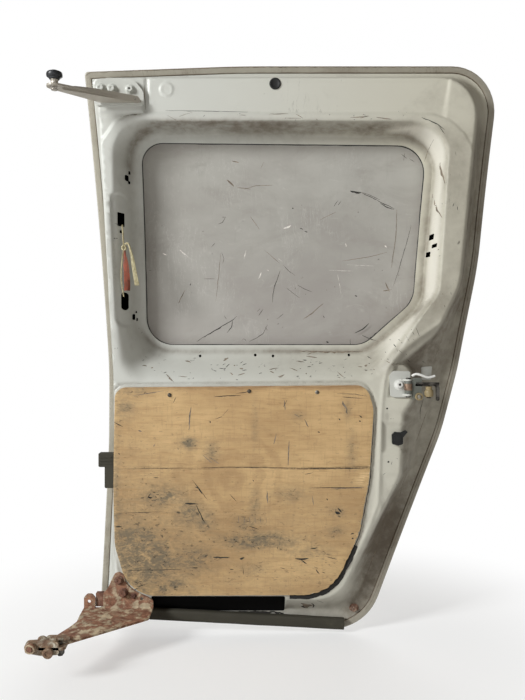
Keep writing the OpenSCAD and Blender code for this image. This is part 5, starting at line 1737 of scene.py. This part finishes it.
def small_pieces():
    plug = Shape()
    at = np.array([PLUG_AT[0], float(face_y(PLUG_AT[1])) + RAIL_DEEP, PLUG_AT[1]])
    plug.lathe([(11.6, -0.3), (12, 0.4), (11.8, 1.6), (10.6, 2.3), (8.6, 2.2), (7.6, 1.4),
        (3, 1.0)], at, LEAN_OUT, 48)
    plug.piece("rail_plug", "black_rubber", "top_plug", sharp=60)

    grommet = Shape()
    outline = rounded([
        (614, 404, 3), (613, 424, 4), (619, 430, 3), (632, 429, 3), (642, 434, 2), (647, 430, 2),
        (641, 423, 3), (637, 418, 3), (637, 404, 4), (627, 401, 4),
    ], 5)
    grommet.plate(outline, (0, -75, 0), X_AXIS, Z_AXIS, 4.4)
    grommet.plate(rounded([(618, 408, 3), (618, 424, 3), (632, 424, 3), (632, 408, 3)], 5),
        (0, -79, 0), X_AXIS, Z_AXIS, 2)
    grommet.piece("pillar_grommet", "black_rubber", "rear_grommet", bevel=1.2, segments=3)

    foot = Shape()
    z0 = 43.5
    y0 = float(skin_y(z0)) - FLANGE_IN
    foot.lathe([(10, 0), (10.2, 0.5), (9.6, 1.2), (7, 1.4)], (538.5, y0, z0), (0, -1, -0.11))
    foot.bolt((538.5, y0 - 1, z0), (0, -1, -0.11), 16, 12.5, 2.4, 4.6)
    foot.piece("corner_stud", "rusty_dark", "corner_bolt", bevel=0.4)

    block = Shape()
    block.plate(rounded([(-9, 354, 3), (-9, 384, 3), (24, 384, 3), (24, 354, 3)], 5), (0, -52, 0),
        X_AXIS, Z_AXIS, 16)
    block.plate(rounded([(4, 309, 3), (4, 356, 2), (24, 356, 2), (24, 309, 3)], 5), (0, -54, 0),
        X_AXIS, Z_AXIS, 13)
    for z in (360, 367, 374):
        block.plate(rounded([(-7, z, 1), (-7, z + 3, 1), (20, z + 3, 1), (20, z, 1)], 4),
            (0, -67.5, 0), X_AXIS, Z_AXIS, 2)
    block.piece("pillar_wedge", "dusty_rubber", "front_guide_block", bevel=1.4,
        segments=3)

    screws = Shape()
    for x, z in PLY_SCREWS:
        screws.lathe([(4.3, 0), (4.3, 0.5), (3.6, 1.5), (2, 2), (0.6, 2.1)], (x, PLY_FACE - 0.7, z),
            -Y_AXIS, 24)
    for x, z in PLY_SCREWS:
        head = np.array([x, PLY_FACE - 2.7, z])
        for angle in (0.4, 0.4 + math.pi / 2):
            reach = np.array([math.cos(angle), 0, math.sin(angle)]) * 2.4
            screws.tube([head - reach, head + reach], 0.35, 6)
    screws.piece("panel_screws", "old_zinc", "plywood_screws")

    profile = [(0, 0), (-8, -0.6), (-12.6, 2.4), (-14.6, 8), (-13.6, 13), (-14.2, 18), (-13, 22.4),
        (-8.6, 24.4), (-3, 24.2), (0, 23.6)]
    rings = []
    for x in np.linspace(97, 515, 60):
        drop = (x - 97) * math.tan(math.radians(3))
        lift = 0.9 * fractal(Vector((x / 50, 0.2, 1.1)), 1.0, 2.0, 3)
        rings.append(np.array([(x, -42 + y * (1 + 0.05 * lift), 24 - drop + z + lift * 0.5)
            for y, z in profile]))
    seal = Shape()
    seal.capped(rings)
    seal.piece("sill_seal", "dusty_rubber", "bottom_seal", sharp=70)


def outside_handle():
    base = Shape()
    base.plate(rounded([(16, 530, 14), (16, 590, 14), (186, 590, 14), (186, 530, 14)], 8)[::-1],
        (0, 0, 0), X_AXIS, Z_AXIS, 5.6)
    base.piece("pull_handle_base", "black_plastic", "handle_base", bevel=2, segments=4)
    grip = Shape()
    for x0, x1 in ((24, 42), (160, 178)):
        grip.plate(rounded([(x0, 546, 5), (x0, 574, 5), (x1, 574, 5), (x1, 546, 5)], 6)[::-1],
            (0, 5, 0), X_AXIS, Z_AXIS, 26)
    grip.plate(rounded([(24, 545, 12), (24, 575, 12), (178, 575, 12), (178, 545, 12)], 8)[::-1],
        (0, 26, 0), X_AXIS, Z_AXIS, 9.6)
    grip.piece("pull_handle_grip", "door_paint", "handle_grip", bevel=3, segments=4)


CORD_TOP = (45, -86, 866)
KNOT = (50, -90, 817)
CORD_FOOT = (47, -80, 716)
TAIL = [
    (53, -96, 824), (58, -98, 826), (62, -99, 821), (65, -99, 810), (68, -99, 798),
    (70, -98, 786), (72, -97, 774), (74, -96, 762), (76, -95, 750), (78, -94, 738),
]


def twisted(shape, route, radius, strands=2, turns=9, count=60):
    middle = along_route(route, count)
    ahead = np.gradient(middle, axis=0)
    for s in range(strands):
        phase = 2 * math.pi * s / strands + np.linspace(0, turns * 2 * math.pi, count)
        lane = []
        for p, a, f in zip(middle, ahead, phase):
            a = unit(a)
            across = unit(np.cross(Y_AXIS, a))
            up = np.cross(a, across)
            lane.append(p + radius * 0.62 * (math.cos(f) * across + math.sin(f) * up))
        shape.tube(lane, radius * 0.62, 8)


def pull_cord():
    cord = Shape()
    twisted(cord, [CORD_TOP, (47, -88, 848), (48, -90, 832), KNOT], 1.5, 2, 8, 60)
    twisted(cord, [KNOT, (46, -92, 790), (44, -91, 752), CORD_FOOT], 1.3, 2, 12, 90)
    for k in range(3):
        angle = k * 2.1
        t = np.linspace(0, 2 * math.pi, 22)
        way = [4.2 * np.cos(t + angle), -1 - 2.5 * np.sin(t * 2 + k), 4.4 * np.sin(t + angle)]
        cord.tube(KNOT + np.stack(way, 1), 1.9, 8)
    cord.piece("lock_cord", "cotton_cord", "pull_cord", sharp=70)

    strap = Shape()
    route = along_route([(51, -93, 812), (53.5, -95, 790), (56, -95.5, 765), (57, -95, 740),
        (56.5, -94, 727)], 26)
    rings = []
    for i, p in enumerate(route):
        t = i / (len(route) - 1)
        half = 2.0 + 4.0 * smooth(t * 2.2)
        twist = 0.25 * math.sin(t * 5)
        lean = twist * half
        rings.append(p + np.array([
            (-half, 0.6 + lean, 0), (0, -0.7, 0), (half, 0.6 - lean, 0),
            (half, 1.5 - lean, 0), (0, 0.5, 0), (-half, 1.5 + lean, 0)]))
    strap.capped(rings)
    strap.piece("lock_strap", "red_webbing", "pull_strap", sharp=70)

    tail = Shape()
    rng = np.random.default_rng(4)
    middle = along_route(TAIL, 40)
    tail.tube(middle, np.linspace(2.3, 1.7, 40), 10)
    for k in range(26):
        angle = 2 * math.pi * k / 26 + rng.uniform(-0.3, 0.3)
        share = np.linspace(0, 1, 40)
        spread = 0.6 + (3.0 * smooth(share * 1.7) + 1.7 * share ** 5) * rng.uniform(0.45, 1.05)
        lane = middle + np.stack([spread * math.cos(angle), -0.6 + spread * 0.16 * math.sin(angle),
            np.zeros(40)], 1)
        lane[:, 0] += 0.3 * np.sin(np.linspace(0, rng.uniform(3, 7), 40) + k)
        cut = 40 - k % 3
        tail.tube(lane[:cut], np.linspace(0.9, 0.75, cut), 6)
    obj = tail.piece("frayed_tail", "cotton_cord", "cord_tassel", sharp=70)


upper_arm()
lower_arm()
lower_truck()
centre_hinge()
small_pieces()
outside_handle()
pull_cord()


# Floor, light and backdrop
def floor():
    points = [(-6000, -6000, -6), (6000, -6000, -6), (6000, 6000, -6), (-6000, 6000, -6)]
    obj = new_object("floor", points, [(0, 1, 2, 3)], None, None)
    f = Finish("floor_white", 0.9)
    f.set("Base Color", (0.9, 0.9, 0.9))
    away = f.vector("DISTANCE", f.at, (0.35, 0.1, -0.06), "Value")
    glow = f.fed("Emission", 0, {"Color": (1, 1, 1)})
    camera = f.node("LightPath").outputs["Is Camera Ray"]
    share = f.times(camera, f.plus(0.5, f.times(f.step(away, 0.35, 0.95), 0.5)))
    mixed = f.fed("MixShader", 0, {0: share, 1: f.shader.outputs[0], 2: glow})
    f.put(f.tree.nodes["Material Output"].inputs["Surface"], mixed)
    obj.data.materials.append(MATERIALS["floor_white"])


AMBIENT = 0.16


def world():
    made = bpy.data.worlds.new("studio")
    bpy.context.scene.world = made
    made.use_nodes = True
    t = Tree(made.node_tree)
    back = made.node_tree.nodes["Background"].inputs
    camera = t.node("LightPath").outputs["Is Camera Ray"]
    t.put(back["Color"], t.mix(camera, (1.0, 0.93, 0.82), (1, 1, 1)))
    t.put(back["Strength"], t.plus(AMBIENT, t.times(camera, 1 - AMBIENT)))


def area_light(name, place, aim, size, power, tint=(1, 1, 1)):
    data = bpy.data.lights.new(name, "AREA")
    data.shape = "SQUARE"
    data.size = size
    data.energy = power
    data.color = tint
    obj = bpy.data.objects.new(name, data)
    obj.location = place
    obj.rotation_euler = (Vector(aim) - Vector(place)).to_track_quat("-Z", "Y").to_euler()
    bpy.context.scene.collection.objects.link(obj)


floor()
world()
area_light("key_left", (-3.2, -2.5, 2.4), (0.35, 0.1, 0.6), 1.2, 215, (0.98, 1.0, 1.0))
area_light("fill_front", (0.9, -3.4, 0.9), (0.35, 0.15, 0.5), 2.0, 5, (1, 0.94, 0.86))
area_light("back_soft", (0.9, 3.0, 1.4), (0.35, 0.15, 0.5), 2.4, 60)

bpy.context.scene.view_settings.view_transform = "Standard"
